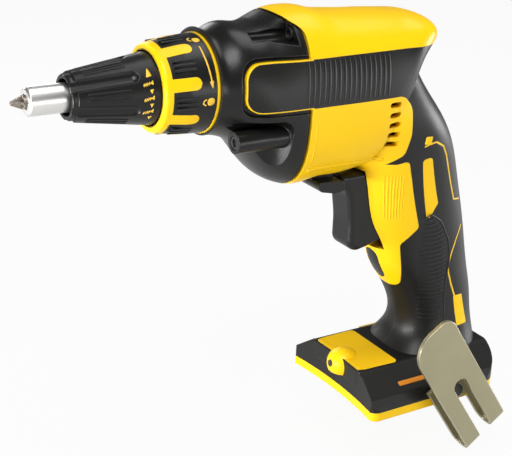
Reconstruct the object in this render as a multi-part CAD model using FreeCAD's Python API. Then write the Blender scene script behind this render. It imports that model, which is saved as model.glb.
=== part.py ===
import FreeCAD, Part
import math
import os

V = FreeCAD.Vector

# Driving dimensions in millimetres. +X points at the screw, +Y left, +Z up.
# The origin is the middle of the foot, level with its battery rails.
SPINDLE_Z = 181.0  # spindle axis above the battery seat
SPLIT_X = 95.0  # joint between the gear case and the motor housing
WALL = 4.0  # housing wall, grip rubber included
RUBBER = 1.6  # grip rubber thickness
FIT = 0.3  # gap between pieces that stay clear of each other
SLIP = 0.05  # radial running clearance of a shaft or ring
PAST = 1.0  # how far a cut runs past the surface it opens

# Barrel sections: X from the joint, top and bottom from the spindle axis,
# half width, squareness of the oval, and how far an inset moves the section.
# The top steps up from the neck to the yellow hump and down again behind it.
BARREL = [
    (45.0, 25.6, -24.4, 24.6, 2.0, -1.0),
    (36.0, 26.2, -25.8, 26.2, 2.0, 0.0),
    (27.0, 26.7, -31.4, 28.2, 2.1, 0.0),
    (18.0, 27.0, -42.6, 29.4, 2.2, 0.0),
    (12.0, 29.4, -48.6, 29.8, 2.3, 0.0),
    (6.0, 31.4, -52.0, 30.0, 2.4, 0.0),
    (-2.0, 32.2, -54.0, 30.0, 2.5, 0.0),
    (-10.0, 31.6, -53.2, 30.0, 2.5, 0.0),
    (-16.0, 30.0, -52.2, 30.0, 2.5, 0.0),
    (-25.0, 29.0, -52.2, 30.0, 2.5, 0.0),
    (-36.0, 28.2, -51.2, 29.8, 2.5, 0.0),
    (-48.0, 27.7, -47.0, 29.2, 2.5, 0.0),
    (-59.0, 27.0, -30.0, 27.6, 2.4, 0.0),
    (-69.0, 26.0, -2.0, 24.8, 2.4, 0.4),
    (-77.0, 24.2, 7.6, 20.6, 2.3, 0.8),
    (-82.4, 20.8, 10.0, 14.6, 2.2, 1.0),
    (-84.4, 17.8, 10.2, 9.0, 2.0, 1.0),
]

# Grip sections above the foot: Z from the battery seat, front and rear X, half width,
# squareness, and how far an inset lowers the section
GRIP_BASE = [
    (6.0, 30.0, -35.6, 26.5, 3.0, 1.0),
    (16.0, 22.0, -36.0, 25.0, 3.0, 1.0),
    (22.0, 15.6, -36.2, 23.0, 2.9, 0.9),
    (28.0, 12.0, -36.0, 20.6, 2.7, 0.6),
    (37.0, 11.4, -35.4, 18.6, 2.5, 0.2),
    (47.0, 14.8, -34.8, 17.5, 2.4, 0.0),
    (58.0, 21.2, -32.4, 17.2, 2.4, 0.0),
]
# The upper sections hang from the spindle axis
GRIP = [
    (-111.0, 29.2, -29.6, 17.2, 2.4),
    (-96.0, 35.0, -26.2, 17.8, 2.4),
    (-84.0, 41.2, -22.8, 18.6, 2.5),
    (-66.0, 45.6, -17.0, 20.6, 2.5),
    (-51.0, 49.0, -11.4, 23.6, 2.5),
    (-36.0, 56.0, -3.6, 27.0, 2.6),
    (-23.0, 60.0, 5.6, 28.2, 2.6),
    (-11.0, 58.0, 15.2, 26.8, 2.5),
    (-1.0, 53.0, 22.0, 24.6, 2.4),
    (6.0, 48.0, 26.0, 22.0, 2.3),
]
OVAL_POINTS = 32  # points that carry each oval section
HALF_SPACE = 150.0  # reach of the block that parts left from right

# Foot and the battery rails under it
FOOT_FRONT = 52.4
FOOT_REAR = -37.2
FOOT_BOTTOM = -2.2  # underside of the yellow lip
FOOT_HALF = 38.9
FOOT_TOP = 19.5
FOOT_TOP_FRONT = 50.0  # front edge of the flat top
FOOT_TOP_HALF = 22.0
FOOT_SKIRT = 4.0  # height of the upright edge
FOOT_CREASE = 9.5  # height of the crease between skirt and slope
FOOT_CREASE_HALF = 36.0
FOOT_CREASE_FRONT = 51.8
FOOT_CORNER = 5.0  # front corners in plan
FOOT_REAR_CORNER = 15.0
FOOT_HOLLOW = 3.2  # dent of the front edge in plan
FOOT_ROUND = 6.0  # round between the slope and the flat top
RAIL_LIP = 3.0  # height of a rail's inward lip
RAIL_REACH = 4.0  # how far a lip reaches inwards
BAY_HALF = 29.0  # half width of the battery channel above the lips
BAY_HEIGHT = 10.0  # ceiling of the channel
BAY_FRONT = 44.0  # closed end of the channel, which opens to the rear
FLOOR = 2.0  # plate between the channel and the inside of the foot

# Gear train
MODULE = 1.0
PINION_TEETH = 12
GEAR_TEETH = 36
TOOTH_TIP = 0.8  # addendum over module
TOOTH_ROOT = 1.15  # dedendum over module
BACKLASH = 0.16  # taken off each tooth's thickness at the pitch circle
PRESSURE = math.radians(20.0)
GEAR_FACE = 8.0
GEAR_SETBACK = 8.0  # rear of the drive gear, from the joint
PINION_FACE = 11.0
MOTOR_Z = SPINDLE_Z - MODULE * (PINION_TEETH + GEAR_TEETH) / 2

# Gear case and the plate that closes its rear
CASE_LENGTH = 45.0  # from the joint to the front face
CASE_SPIGOT = 6.0  # reach of the case into the motor housing
CASE_LIP = 2.5  # wall of that spigot
PLATE = 4.0  # bearing plate
GEAR_ROOM = 19.6  # radius round the drive gear
GEAR_ROOM_LENGTH = 19.0
CLUTCH_ROOM = 14.6  # radius round the clutch flange
CLUTCH_ROOM_LENGTH = 10.0
PINION_ROOM = 8.6
SPINDLE_ROOM = 8.5
SPIGOT_R = 12.5  # front tube that carries the depth ring
SPIGOT_LENGTH = 27.0
COLLAR_SEAT_R = 19.5
COLLAR_SEAT_LENGTH = 9.6

# Screws that hold the gear case: Y, Z from the spindle axis, head X from the joint
CASE_SCREWS = [(22.0, -23.8, 34.0), (15.0, 22.4, 3.0)]
CASE_BOSS_R = 5.2
CASE_SCREW_R = 2.0
CASE_HEAD_R = 3.0
CASE_HEAD = 2.6
CASE_SCREW_REACH = 13.0  # reach behind the joint
DRIVER_POCKET = 23.0  # open way in front of the upper screws
POCKET_REAR = 9.0  # scoop round each lower boss, from the joint
POCKET_REACH = 60.0  # the scoop is open to the front
POCKET_LOW = -66.0
POCKET_HIGH = -14.5
POCKET_SWEEP = 14.0  # round of the scoop's rear wall in plan
POCKET_CORNER = 6.0
POCKET_FLOOR = 17.4  # Y of the floor, a little inside the boss
SCOOP_REAR = 4.8  # ledge in front of each upper screw, from the joint
SCOOP_CORNER = (12.2, 18.6)  # foot of its wall: Y, and Z from the spindle axis
SCOOP_ROUND = 6.0
SCOOP_WAY = (48.0, 5.0, 7.6)  # it rises and widens to the front
GROOVE = 2.0  # groove in the case round the tongue and the hump

# Spindle, clutch and bearings
SPINDLE_R = 6.5
SPINDLE_TAIL_R = 5.0
SPINDLE_FRONT = 77.0  # from the joint
SPINDLE_TAIL = 11.0  # rear end, from the joint
FLANGE_R = 12.0
FLANGE = 3.0
FLANGE_X = 24.0  # rear face of the flange, from the joint
DOG = 3.0  # height of the clutch dogs
DOG_INNER = 8.6
DOG_COUNT = 3
DOG_ANGLE = 48.0
BUSH_R = 9.0
BUSH_LENGTH = 22.0
BUSH_SETBACK = 33.0  # rear of the bush, from the joint
SEAL_LENGTH = 3.0
GEAR_HUB_R = 7.0
GEAR_BEARING_R = 11.0
GEAR_BEARING = 5.0
SPRING_WIRE = 1.2
SPRING_R = 7.0  # mean radius of the clutch spring
SPRING_TURNS = 4

# Nose
INDEX_RING = 1.2
COLLAR_R = 22.9
COLLAR_MIDDLE_R = 22.3
COLLAR_FRONT_R = 20.2
COLLAR_EDGE = 2.2
COLLAR_SWEEP = 9.0  # round between the straight rear and the tapered front
COLLAR_LENGTH = 24.2
COLLAR_BORE = 17.2
TRIM = 1.3  # depth of the yellow trim in the collar
TRIM_BAND = 3.8
FINGERS = 8
FINGER_LENGTH = 13.2
FINGER_WIDTH = 5.8
FINGER_PHASE = 15.0
CONE_REAR_R = 16.6
CONE_FRONT_R = 10.4
CONE_LENGTH = 39.0  # in front of the collar
CONE_SKIRT = 11.0  # inside the collar
CONE_MOUTH = 8.3
CONE_THROAT = 11.0  # bore between the depth ring and the mouth
CONE_STEP = 2.0
CONE_LIP = 2.4  # rim at the front
CONE_EDGE = 0.9  # step and rounds of the rim
DEPTH_TRAVEL = 2.0  # depth setting, to each side of the middle
RING_WALL = 2.0  # depth ring
RING_LENGTH = 14.0
RING_SETBACK = 13.2  # depth ring behind the collar's front
FLUTES = 6
FLUTE_PHASE = 8.0
FLUTE_R = 4.2
FLUTE_DEPTH = 1.5
FLUTE_LENGTH = 24.2

# Bit and holder
HEX = 6.35  # across flats of the drive
HEX_SLIP = 0.1
HOLDER_R = 6.5
HOLDER_REACH = 17.7  # in front of the cone
HOLDER_SHANK = 22.0
HOLDER_EDGE = 0.9
BIT_REACH = 6.4  # in front of the holder
BIT_LENGTH = 25.4
BIT_NECK_R = 3.0
BIT_WING = 1.1
BIT_POINT_R = 0.9
BIT_POINT = 5.0  # length of the tapered point
MAGNET_R = 2.6
MAGNET = 3.0

# Motor
SHAFT_R = 4.0
STATOR_R = 21.6
STATOR_BORE = 12.5
STATOR_REAR = -41.0  # from the joint
STATOR_LENGTH = 24.0
STATOR_SLOTS = 6
TOOTH_HALF = 4.2  # half width of a stator tooth
YOKE = 4.0
COIL_END = 4.4
COIL_BUILD = 2.4
AIR_GAP = 0.5
ROTOR_OVER = 2.0  # rotor longer than the stator at each end
FAN_R = 17.0
FAN_X = -63.0
FAN_LENGTH = 9.0
FAN_BLADES = 9
FAN_BLADE = 1.6
FAN_PLATE = 1.8
FAN_HUB_R = 6.5
FAN_AIR = 0.8  # room round the fan in the housing
FRONT_BEARING_R = 9.5
FRONT_BEARING = 6.0
REAR_BEARING_R = 8.0
REAR_BEARING = 6.0
REAR_BEARING_X = -71.0
BEARING_RACE = 1.4
BEARING_SHIELD = 0.6  # depth of the shields
BEARING_BOSS = 2.5  # wall round the front bearing
SHAFT_OVER = 2.0  # shaft behind the rear bearing
STATOR_SHOE = 2.0  # depth of a tooth's foot
SHOE_OVER = 1.2
COIL_SETBACK = 1.9  # coil from the yoke
RIB = 3.0  # ribs that carry the stator
RIB_INSET = 4.0
RIB_DROP = 6.0  # top of the ribs below the spindle axis
WEB_HALF = 14.0  # half height of the rear bearing's web
BOARD = 1.6
BOARD_R = 20.5

# Trigger and controls
TRIGGER_HALF = 9.0
TRIGGER_TOP = 127.0
TRIGGER_BOTTOM = 82.0
TRIGGER_REAR = 31.0
TRIGGER_SIDE = [
    (TRIGGER_REAR, TRIGGER_TOP, 1.0),
    (61.0, TRIGGER_TOP, 2.0),
    (61.4, 121.0, 2.0),
    (55.6, 117.0, 8.0),
    (53.0, 100.0, 40.0),
    (53.0, TRIGGER_BOTTOM, 6.0),
    (TRIGGER_REAR, TRIGGER_BOTTOM + 4.6, 1.0),
]
TRIGGER_ROUND = 3.0
TRIGGER_GAP = 0.5
PLUNGER_R = 3.0
PLUNGER_Z = 112.0
PLUNGER_DEPTH = 12.0
SPRING_SEAT = 2.0  # how deep the return spring sits in the trigger
SWITCH_FRONT = 22.0
SWITCH_REAR = -4.0
SWITCH_HALF = 11.0
SWITCH_TOP = 128.0
SWITCH_BOTTOM = 98.0
SHELF = 3.0
SHELF_OVER = 1.5  # shelf beyond the switch at each end
LEVER_SIDE = [
    (63.0, 126.5, 2.0),
    (81.0, 127.9, 2.0),
    (77.0, 122.6, 3.0),
    (69.0, 120.8, 3.0),
    (63.0, 121.4, 1.0),
]
LEVER_HALF = 15.0
LEVER_TRAVEL = 4.0
STEM_REAR = 65.0  # stem that guides the lever in the housing
STEM_FRONT = 78.0
STEM_HALF = 7.0
STEM_TOP = 48.0  # below the spindle axis
BUTTON_HALF = 4.8
BUTTON_LENGTH = 19.0
BUTTON_DEPTH = 9.0
BUTTON_TRAVEL = 2.5
BUTTON_Z = 70.5
BUTTON_X = 27.2
BUTTON_LEAN = math.radians(22.0)

# Foot pieces
BLOCK_REAR = -24.0
BLOCK_FRONT = 10.0
BLOCK_HALF = 18.0
BLOCK_BOTTOM = 7.0
BLOCK_FLANGE = 2.0
BLOCK_RIM = 2.0
BLADES = 5
BLADE = 0.8
BLADE_LENGTH = 14.0
BLADE_DROP = 4.0
BLADE_ROOT = 5.0  # depth in the block
BLADE_PITCH = 7.0
MODULE_REAR = -25.0
MODULE_FRONT = 8.0
MODULE_HALF = 14.0
MODULE_HEIGHT = 5.0
MODULE_EDGE = 0.8  # chamfer of the sealed modules
DOME_R = 9.0
DOME_X = 45.0
DOME_Z = 13.8
LENS_R = 1.9
LENS_LENGTH = 6.0
LENS_TILT = math.radians(10.0)
LIGHT_BOARD_R = 4.2

# Belt hook, on the left of the foot
HOOK = 2.0  # plate thickness
HOOK_GAP = 9.0  # room for a belt
HOOK_HALF = 14.4
HOOK_TOP_X = 29.0
HOOK_TOP_Z = 49.9
HOOK_LENGTH = 79.7  # top to the middle of the bend
HOOK_LEAN = math.radians(34.0)
HOOK_CORNER = 14.2
HOOK_SLOT = 9.0
HOOK_SLOT_TOP = 38.6
HOOK_INNER_TOP = 42.6
HOOK_SCREW = 53.2  # along the plate
HOOK_SCREW_R = 2.0
HOOK_HEAD_R = 3.9
HOOK_HEAD = 2.4
HOOK_PAD_HALF = 7.0  # hard seat of the hook in the rubber
HOOK_PAD_TOP = 9.6
HOOK_PAD_BOTTOM = 1.0
SCREW_DEPTH = 7.0

# Housing screws: X, Z
HOUSING_SCREWS = [(26.0, 188.0), (73.0, 202.0), (-9.0, 88.0), (14.0, 86.0), (-24.0, 52.0), (-31.0, 25.0)]
SCREW_BOSS_R = 3.7
SCREW_R = 1.5
SCREW_HEAD_R = 2.8
SCREW_HEAD = 2.2
SCREW_HALF = 9.0  # reach to each side of the middle

# Vent slots beside the fan
VENTS = 5
VENT_FRONT = 49.3
VENT_LENGTH = 7.6
VENT_HEIGHT = 2.8
VENT_PITCH = 5.3
VENT_LEAN = 0.55  # each slot sits this far behind the one above
VENT_TOP = -12.6  # highest slot from the spindle axis

# Yellow window lines, side view, X and Z with a corner radius
CAP_LINE = 12.5  # lower edge of the yellow top, above the spindle axis
PANEL_LINE = -10.0  # upper edge of the yellow side panel
TONGUE_FRONT = 33.5  # front of the side tongue, from the joint
TONGUE_CORNER = 8.0
HUMP_FRONT = 9.6  # front of the yellow hump, from the joint
HUMP_KNEE = (0.4, 24.6, 6.0)  # bend of the hump's front edge and its radius
HUMP_TOP = 32.0
LIP_LINE = 2.6  # yellow lip under the rubber of the foot
PINSTRIPE = 1.0
TONGUE_RIM = 0.5  # yellow line round the tongue
PANEL_END = (52.0, 35.2, 10.0)  # rear end of the side panel's upper edge and its corner
PANEL_EDGE = [
    (33.4, 150.0, 10.0),
    (34.6, 139.0, 5.0),
    (42.0, 133.4, 0),
    (36.5, 133.4, 0),
    (30.6, 135.2, 3.0),
    (26.0, 124.0, 0),
    (15.4, 94.6, 2.5),
    (24.4, 85.4, 3.0),
    (18.4, 59.0, 4.0),
    (24.0, 55.4, 0),
]
GRIP_WINDOW = [(22.2, 134.4, 1.6), (16.4, 135.6, 2.6), (5.0, 107.0, 1.6), (10.6, 96.8, 1.6)]
GRIP_BLOCK = [(-14.2, 48.8, 0.8), (-21.0, 48.4, 0.8), (-24.9, 30.9, 0.8), (-17.0, 30.9, 0.8)]
UPPER_STRIPE = [
    (23.4, 142.2),
    (19.6, 143.5),
    (15.7, 143.8),
    (9.6, 140.5),
    (5.6, 134.6),
    (-0.4, 122.0),
    (-7.6, 106.5),
    (-13.8, 105.1),
]
LOWER_STRIPE = [
    (-17.7, 89.3),
    (-13.8, 83.0),
    (-10.6, 75.3),
    (-8.4, 67.6),
    (-9.6, 62.6),
    (-11.9, 56.2),
    (-15.6, 47.7),
]
FOOT_PANEL = [(24.0, -1, 0), (54.0, -1, 0), (50.0, 20.6, 6.0), (24.0, 21.5, 3.0)]  # X and Y


def side(u, v):
    return V(u, 0, v)


def outline(corners, place):
    """Closed wire through corners (u, v, radius), with tangent arcs at the rounded ones."""
    count = len(corners)
    spans = []
    for i in range(count):
        u, v, radius = corners[i]
        here = V(u, v, 0)
        back = V(*corners[i - 1][:2], 0) - here
        ahead = V(*corners[(i + 1) % count][:2], 0) - here
        back.normalize()
        ahead.normalize()
        if radius == 0:
            spans.append((here, None, here))
            continue
        half = back.getAngle(ahead) / 2
        reach = radius / math.tan(half)
        middle = back + ahead
        middle.normalize()
        bulge = here + middle * (radius / math.sin(half) - radius)
        spans.append((here + back * reach, bulge, here + ahead * reach))
    edges = []
    for i in range(count):
        start, bulge, end = [place(p.x, p.y) if p else None for p in spans[i]]
        if bulge:
            edges.append(Part.Arc(start, bulge, end).toShape())
        following = spans[(i + 1) % count][0]
        following = place(following.x, following.y)
        if (following - end).Length > 1e-6:
            edges.append(Part.LineSegment(end, following).toShape())
    return Part.Wire(edges)


def prism(corners, place, travel):
    return Part.Face(outline(corners, place)).extrude(travel)


def square(points):
    return [(u, v, 0) for u, v in points]


def slab(x0, x1, y0, y1, z0, z1):
    return Part.makeBox(x1 - x0, y1 - y0, z1 - z0, V(x0, y0, z0))


def rod(x0, x1, radius, z, y=0.0):
    return Part.makeCylinder(radius, x1 - x0, V(x0, y, z), V(1, 0, 0))


def cross_rod(x, z, y0, y1, radius):
    return Part.makeCylinder(radius, y1 - y0, V(x, y0, z), V(0, 1, 0))


def tube(x0, x1, inner, outer, z):
    return rod(x0, x1, outer, z).cut(rod(x0, x1, inner, z))


def turned(corners, z):
    """Solid of revolution about the X axis at height z, from corners (x, r, radius)."""
    wire = outline(corners, lambda u, v: V(u, 0, z + v))
    return Part.Face(wire).revolve(V(0, 0, z), V(1, 0, 0), 360)


def hex_rod(x0, x1, flats, z):
    reach = flats / math.sqrt(3)
    points = []
    for i in range(6):
        angle = math.radians(60 * i)
        points.append((reach * math.cos(angle), z + reach * math.sin(angle), 0))
    return prism(points, lambda u, v: V(x0, u, v), V(x1 - x0, 0, 0))


def mirrored(shape):
    return shape.mirror(V(0, 0, 0), V(0, 1, 0))


def union(shapes):
    return shapes[0].multiFuse(shapes[1:]).removeSplitter()


def power(value, exponent):
    return math.copysign(abs(value) ** exponent, value)


def oval_wire(point_at):
    """Smooth closed curve; it starts on the right side, away from the left half."""
    points = []
    for i in range(OVAL_POINTS):
        points.append(point_at(2 * math.pi * i / OVAL_POINTS - math.pi / 2))
    curve = Part.BSplineCurve()
    steps = [float(i) for i in range(OVAL_POINTS + 1)]
    curve.interpolate(Points=points, Parameters=steps, PeriodicFlag=True)
    return Part.Wire(curve.toShape())


def barrel(inset):
    wires = []
    for dx, high, low, half, squareness, shift in BARREL:
        x = SPLIT_X + dx + inset * shift
        middle = SPINDLE_Z + (high + low) / 2
        taken = inset * (1 - abs(shift) / 2)
        tall = (high - low) / 2 - taken
        wide = half - taken

        def point_at(t):
            y = wide * power(math.sin(t), 2 / squareness)
            return V(x, y, middle + tall * power(math.cos(t), 2 / squareness))

        wires.append(oval_wire(point_at))
    return Part.makeLoft(wires, True, False)


def grip(inset):
    sections = list(GRIP_BASE)
    for z, x0, x1, half, squareness in GRIP:
        sections.append((SPINDLE_Z + z, x0, x1, half, squareness, 0.0))
    wires = []
    for z, x0, x1, half, squareness, drop in sections:
        middle = (x0 + x1) / 2
        deep = (x0 - x1) / 2 - inset
        wide = half - inset
        level = z - inset * drop

        def point_at(t):
            x = middle + deep * power(math.cos(t), 2 / squareness)
            return V(x, wide * power(math.sin(t), 2 / squareness), level)

        wires.append(oval_wire(point_at))
    return Part.makeLoft(wires, True, False)


def foot(inset):
    """Foot with sloping sides: the common part of its plan, its front view and its side view."""
    back = FOOT_REAR + inset
    ahead = FOOT_FRONT - inset
    wide = FOOT_HALF - inset
    level = FOOT_TOP - inset
    half = inset / 2
    low = FOOT_BOTTOM - inset
    corners = [
        (ahead, wide, FOOT_CORNER),
        (ahead, -wide, FOOT_CORNER),
        (back, -wide, FOOT_REAR_CORNER),
        (back, wide, FOOT_REAR_CORNER),
    ]
    plan = prism(corners, lambda u, v: V(u, v, low), V(0, 0, FOOT_TOP - low))
    dent_r = (FOOT_HALF**2 + FOOT_HOLLOW**2) / (2 * FOOT_HOLLOW)
    dent_x = FOOT_FRONT - FOOT_HOLLOW + dent_r
    plan = plan.cut(Part.makeCylinder(dent_r + inset, 2 * FOOT_TOP, V(dent_x, 0, low - FIT)))
    slope = []
    for sign in (1, -1):
        points = [
            (sign * wide, low, 0),
            (sign * wide, FOOT_SKIRT - half, 1.0),
            (sign * (FOOT_CREASE_HALF - inset), FOOT_CREASE - half, 1.5),
            (sign * (FOOT_TOP_HALF - half), level, FOOT_ROUND),
        ]
        slope += points if sign == 1 else points[::-1]
    across = prism(slope, lambda u, v: V(back, u, v), V(ahead - back, 0, 0))
    lean = [
        (back, low, 0),
        (ahead, low, 0),
        (ahead, FOOT_SKIRT - half, 1.0),
        (FOOT_CREASE_FRONT - inset, FOOT_CREASE - half, 1.5),
        (FOOT_TOP_FRONT - inset, level, FOOT_ROUND / 2),
        (back, level, 0),
    ]
    along = prism(lean, lambda u, v: V(u, -wide, v), V(0, 2 * wide, 0))
    return plan.common(across).common(along)


def involute_gear(teeth, x0, x1, z, turn):
    """Spur gear about the X axis; turn is the angle of the first tooth's middle from +Z."""
    pitch = MODULE * teeth / 2
    base = pitch * math.cos(PRESSURE)
    tip = pitch + MODULE * TOOTH_TIP
    root = pitch - MODULE * TOOTH_ROOT
    half = (math.pi * MODULE / 2 - BACKLASH) / (2 * pitch) + math.tan(PRESSURE) - PRESSURE

    def at(radius, angle):
        return V(x0, radius * math.sin(angle), z + radius * math.cos(angle))

    def flank(radius):
        if radius <= base:
            return half
        spread = math.acos(base / radius)
        return half - math.tan(spread) + spread

    low = max(root, base)
    radii = [low + (tip - low) * i / 3 for i in range(4)]
    edges = []
    step = 2 * math.pi / teeth
    for i in range(teeth):
        centre = turn + i * step
        rise = [at(r, centre - flank(r)) for r in radii]
        fall = [at(r, centre + flank(r)) for r in reversed(radii)]
        foot_in = at(root, centre - half)
        foot_out = at(root, centre + half)
        next_in = at(root, centre + step - half)
        if root < low:
            edges.append(Part.LineSegment(foot_in, rise[0]).toShape())
        side_in = Part.BSplineCurve()
        side_in.interpolate(rise)
        edges.append(side_in.toShape())
        edges.append(Part.Arc(rise[-1], at(tip, centre), fall[0]).toShape())
        side_out = Part.BSplineCurve()
        side_out.interpolate(fall)
        edges.append(side_out.toShape())
        if root < low:
            edges.append(Part.LineSegment(fall[-1], foot_out).toShape())
        edges.append(Part.Arc(foot_out, at(root, centre + step / 2), next_in).toShape())
    return Part.Face(Part.Wire(edges)).extrude(V(x1 - x0, 0, 0))


def coil_spring(x0, x1, radius, wire, turns, z):
    """Round-wire spring along X, its path made of half-turn arcs."""
    start = x0 + wire / 2
    rise = (x1 - x0 - wire) / turns
    halves = 2 * turns

    def at(turn):
        angle = 2 * math.pi * turn
        return V(start + rise * turn, radius * math.sin(angle), z + radius * math.cos(angle))

    arcs = []
    for i in range(halves):
        arcs.append(Part.Arc(at(i / 2), at(i / 2 + 0.25), at(i / 2 + 0.5)).toShape())
    path = Part.Wire(arcs)
    heading = at(0.01) - at(0.0)
    section = Part.Wire(Part.makeCircle(wire / 2, at(0.0), heading))
    return path.makePipeShell([section], True, False)


def bearing(x0, x1, bore, outer, z):
    """Ball bearing: both races and a shielded middle, as one piece."""
    races = tube(x0, x1, bore, bore + BEARING_RACE, z)
    rim = tube(x0, x1, outer - BEARING_RACE, outer, z)
    shield = tube(x0 + BEARING_SHIELD, x1 - BEARING_SHIELD, bore + BEARING_RACE, outer - BEARING_RACE, z)
    return union([races, shield, rim])


def dogs(x0, x1, turn):
    """Clutch dogs between two planes, as ring sectors about the spindle axis."""
    ring = tube(x0, x1, DOG_INNER, FLANGE_R, SPINDLE_Z)
    pieces = []
    for i in range(DOG_COUNT):
        middle = math.radians(turn + 360.0 * i / DOG_COUNT)
        half = math.radians(DOG_ANGLE / 2)
        reach = 2 * FLANGE_R
        points = [(0, 0, 0)]
        for angle in (middle - half, middle, middle + half):
            points.append((reach * math.sin(angle), reach * math.cos(angle), 0))
        wedge = prism(points, lambda u, v: V(x0, u, SPINDLE_Z + v), V(x1 - x0, 0, 0))
        pieces.append(ring.common(wedge))
    return pieces


# Outer form and its insets
left_space = slab(-HALF_SPACE, 2 * HALF_SPACE, 0, HALF_SPACE, -HALF_SPACE, 2 * HALF_SPACE)
barrel_outer = barrel(0.0).common(left_space)
barrel_core = barrel(RUBBER).common(left_space)
barrel_room = barrel(WALL).common(left_space)
case_form = barrel(WALL + FIT)
plate_form = barrel(WALL + FIT + CASE_LIP)
grip_outer = grip(0.0).fuse(foot(0.0)).common(left_space)
grip_core = grip(RUBBER).fuse(foot(RUBBER)).common(left_space)
inside_floor = BAY_HEIGHT + FLOOR
above_floor = slab(-HALF_SPACE, HALF_SPACE, 0, HALF_SPACE, inside_floor, SPINDLE_Z)
grip_room = grip(WALL).fuse(foot(WALL)).common(above_floor)

# Side view of the motor housing: the body behind the joint, the tongue and the hump
cap_z = SPINDLE_Z + CAP_LINE
panel_z = SPINDLE_Z + PANEL_LINE
high_z = SPINDLE_Z + HALF_SPACE / 2
tongue_x = SPLIT_X + TONGUE_FRONT
hump_x = SPLIT_X + HUMP_FRONT


def housing_side(grow):
    """Left block that the housing shell fills, wider by grow on its front edges."""
    corners = [
        (-HALF_SPACE, 0, 0),
        (SPLIT_X - FIT + grow, 0, 0),
        (SPLIT_X - FIT + grow, panel_z - grow, 0),
        (tongue_x + grow, panel_z - grow, TONGUE_CORNER),
        (tongue_x + grow, cap_z + grow, TONGUE_CORNER),
        (SPLIT_X + grow, cap_z + grow, 0),
        (SPLIT_X + grow + HUMP_KNEE[0], SPINDLE_Z + HUMP_KNEE[1], HUMP_KNEE[2]),
        (hump_x + grow, SPINDLE_Z + HUMP_TOP, 0),
        (hump_x + grow, high_z, 0),
        (-HALF_SPACE, high_z, 0),
    ]
    return prism(corners, side, V(0, HALF_SPACE, 0))


# Housing halves
hook_face = FOOT_HALF
hook_axis = V(-math.sin(HOOK_LEAN), 0, -math.cos(HOOK_LEAN))
hook_across = V(-math.cos(HOOK_LEAN), 0, math.sin(HOOK_LEAN))
hook_top = V(HOOK_TOP_X, 0, HOOK_TOP_Z)
hook_screw = hook_top + hook_axis * HOOK_SCREW
lens_way = V(math.cos(LENS_TILT), 0, math.sin(LENS_TILT))
lens_face = V(DOME_X, 0, DOME_Z) + lens_way * DOME_R
lens_back = lens_face - lens_way * LENS_LENGTH
button_up = V(math.sin(BUTTON_LEAN), 0, math.cos(BUTTON_LEAN))
button_mid = V(BUTTON_X, 0, BUTTON_Z)
lever_low = min(z for x, z, radius in LEVER_SIDE)
stem_top = SPINDLE_Z - STEM_TOP
stator_front = SPLIT_X + STATOR_REAR + STATOR_LENGTH
stator_rear = SPLIT_X + STATOR_REAR
rear_bearing_x = SPLIT_X + REAR_BEARING_X


def button_form(grow, depth):
    """Oblong block that leans with the front of the grip, depth deep."""
    half = BUTTON_LENGTH / 2 + grow
    wide = BUTTON_HALF + grow
    corner = wide - FIT
    corners = [(-wide, -half, corner), (wide, -half, corner), (wide, half, corner), (-wide, half, corner)]

    def place(u, v):
        return button_mid + V(0, u, 0) + button_up * v

    return prism(corners, place, V(-depth, 0, 0))


pad = slab(
    hook_screw.x - HOOK_PAD_HALF,
    hook_screw.x + HOOK_PAD_HALF,
    BAY_HALF,
    hook_face,
    HOOK_PAD_BOTTOM,
    HOOK_PAD_TOP,
)
dome = Part.makeSphere(DOME_R, V(DOME_X, 0, DOME_Z)).common(left_space)
dome = dome.common(slab(0, HALF_SPACE, 0, HALF_SPACE, BAY_HEIGHT, HALF_SPACE))
form = barrel_outer.common(housing_side(0.0)).fuse(grip_outer)
skin = form.cut(barrel_core).cut(grip_core)

# Rubber regions in side view: everything that isn't a yellow window
black_side = [
    (tongue_x, panel_z, TONGUE_CORNER),
    (PANEL_END[0], panel_z, 0),
    (PANEL_END[1], panel_z, PANEL_END[2]),
]
black_side += PANEL_EDGE
black_side += [
    (FOOT_FRONT + WALL, PANEL_EDGE[-1][1], 0),
    (FOOT_FRONT + WALL, LIP_LINE, 0),
    (-HALF_SPACE, LIP_LINE, 0),
    (-HALF_SPACE, cap_z, 0),
    (tongue_x, cap_z, TONGUE_CORNER),
]
black_block = prism(black_side, side, V(0, HALF_SPACE, 0))
stripe_end = SPLIT_X - PAST
tongue_block = prism(
    square([(stripe_end, panel_z - PAST), (tongue_x + PAST, panel_z - PAST),
            (tongue_x + PAST, cap_z + PAST), (stripe_end, cap_z + PAST)]),
    side,
    V(0, HALF_SPACE, 0),
)
rim_corner = TONGUE_CORNER - TONGUE_RIM
tongue_field = prism(
    [
        (stripe_end - PAST, panel_z + TONGUE_RIM, 0),
        (tongue_x - TONGUE_RIM, panel_z + TONGUE_RIM, rim_corner),
        (tongue_x - TONGUE_RIM, cap_z - TONGUE_RIM, rim_corner),
        (stripe_end - PAST, cap_z - TONGUE_RIM, 0),
    ],
    side,
    V(0, HALF_SPACE, 0),
)
pinstripe_edge = tongue_block.cut(tongue_field)


def stripe(points):
    """Thin yellow line in side view: a band of the pinstripe's width along the points."""
    edge_a = []
    edge_b = []
    for i, (x, z) in enumerate(points):
        before = V(*points[max(i - 1, 0)], 0)
        after = V(*points[min(i + 1, len(points) - 1)], 0)
        heading = after - before
        heading.normalize()
        across = V(-heading.y, heading.x, 0) * (PINSTRIPE / 2)
        edge_a.append((x + across.x, z + across.y, 0))
        edge_b.append((x - across.x, z - across.y, 0))
    return prism(edge_a + edge_b[::-1], side, V(0, HALF_SPACE, 0))


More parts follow.
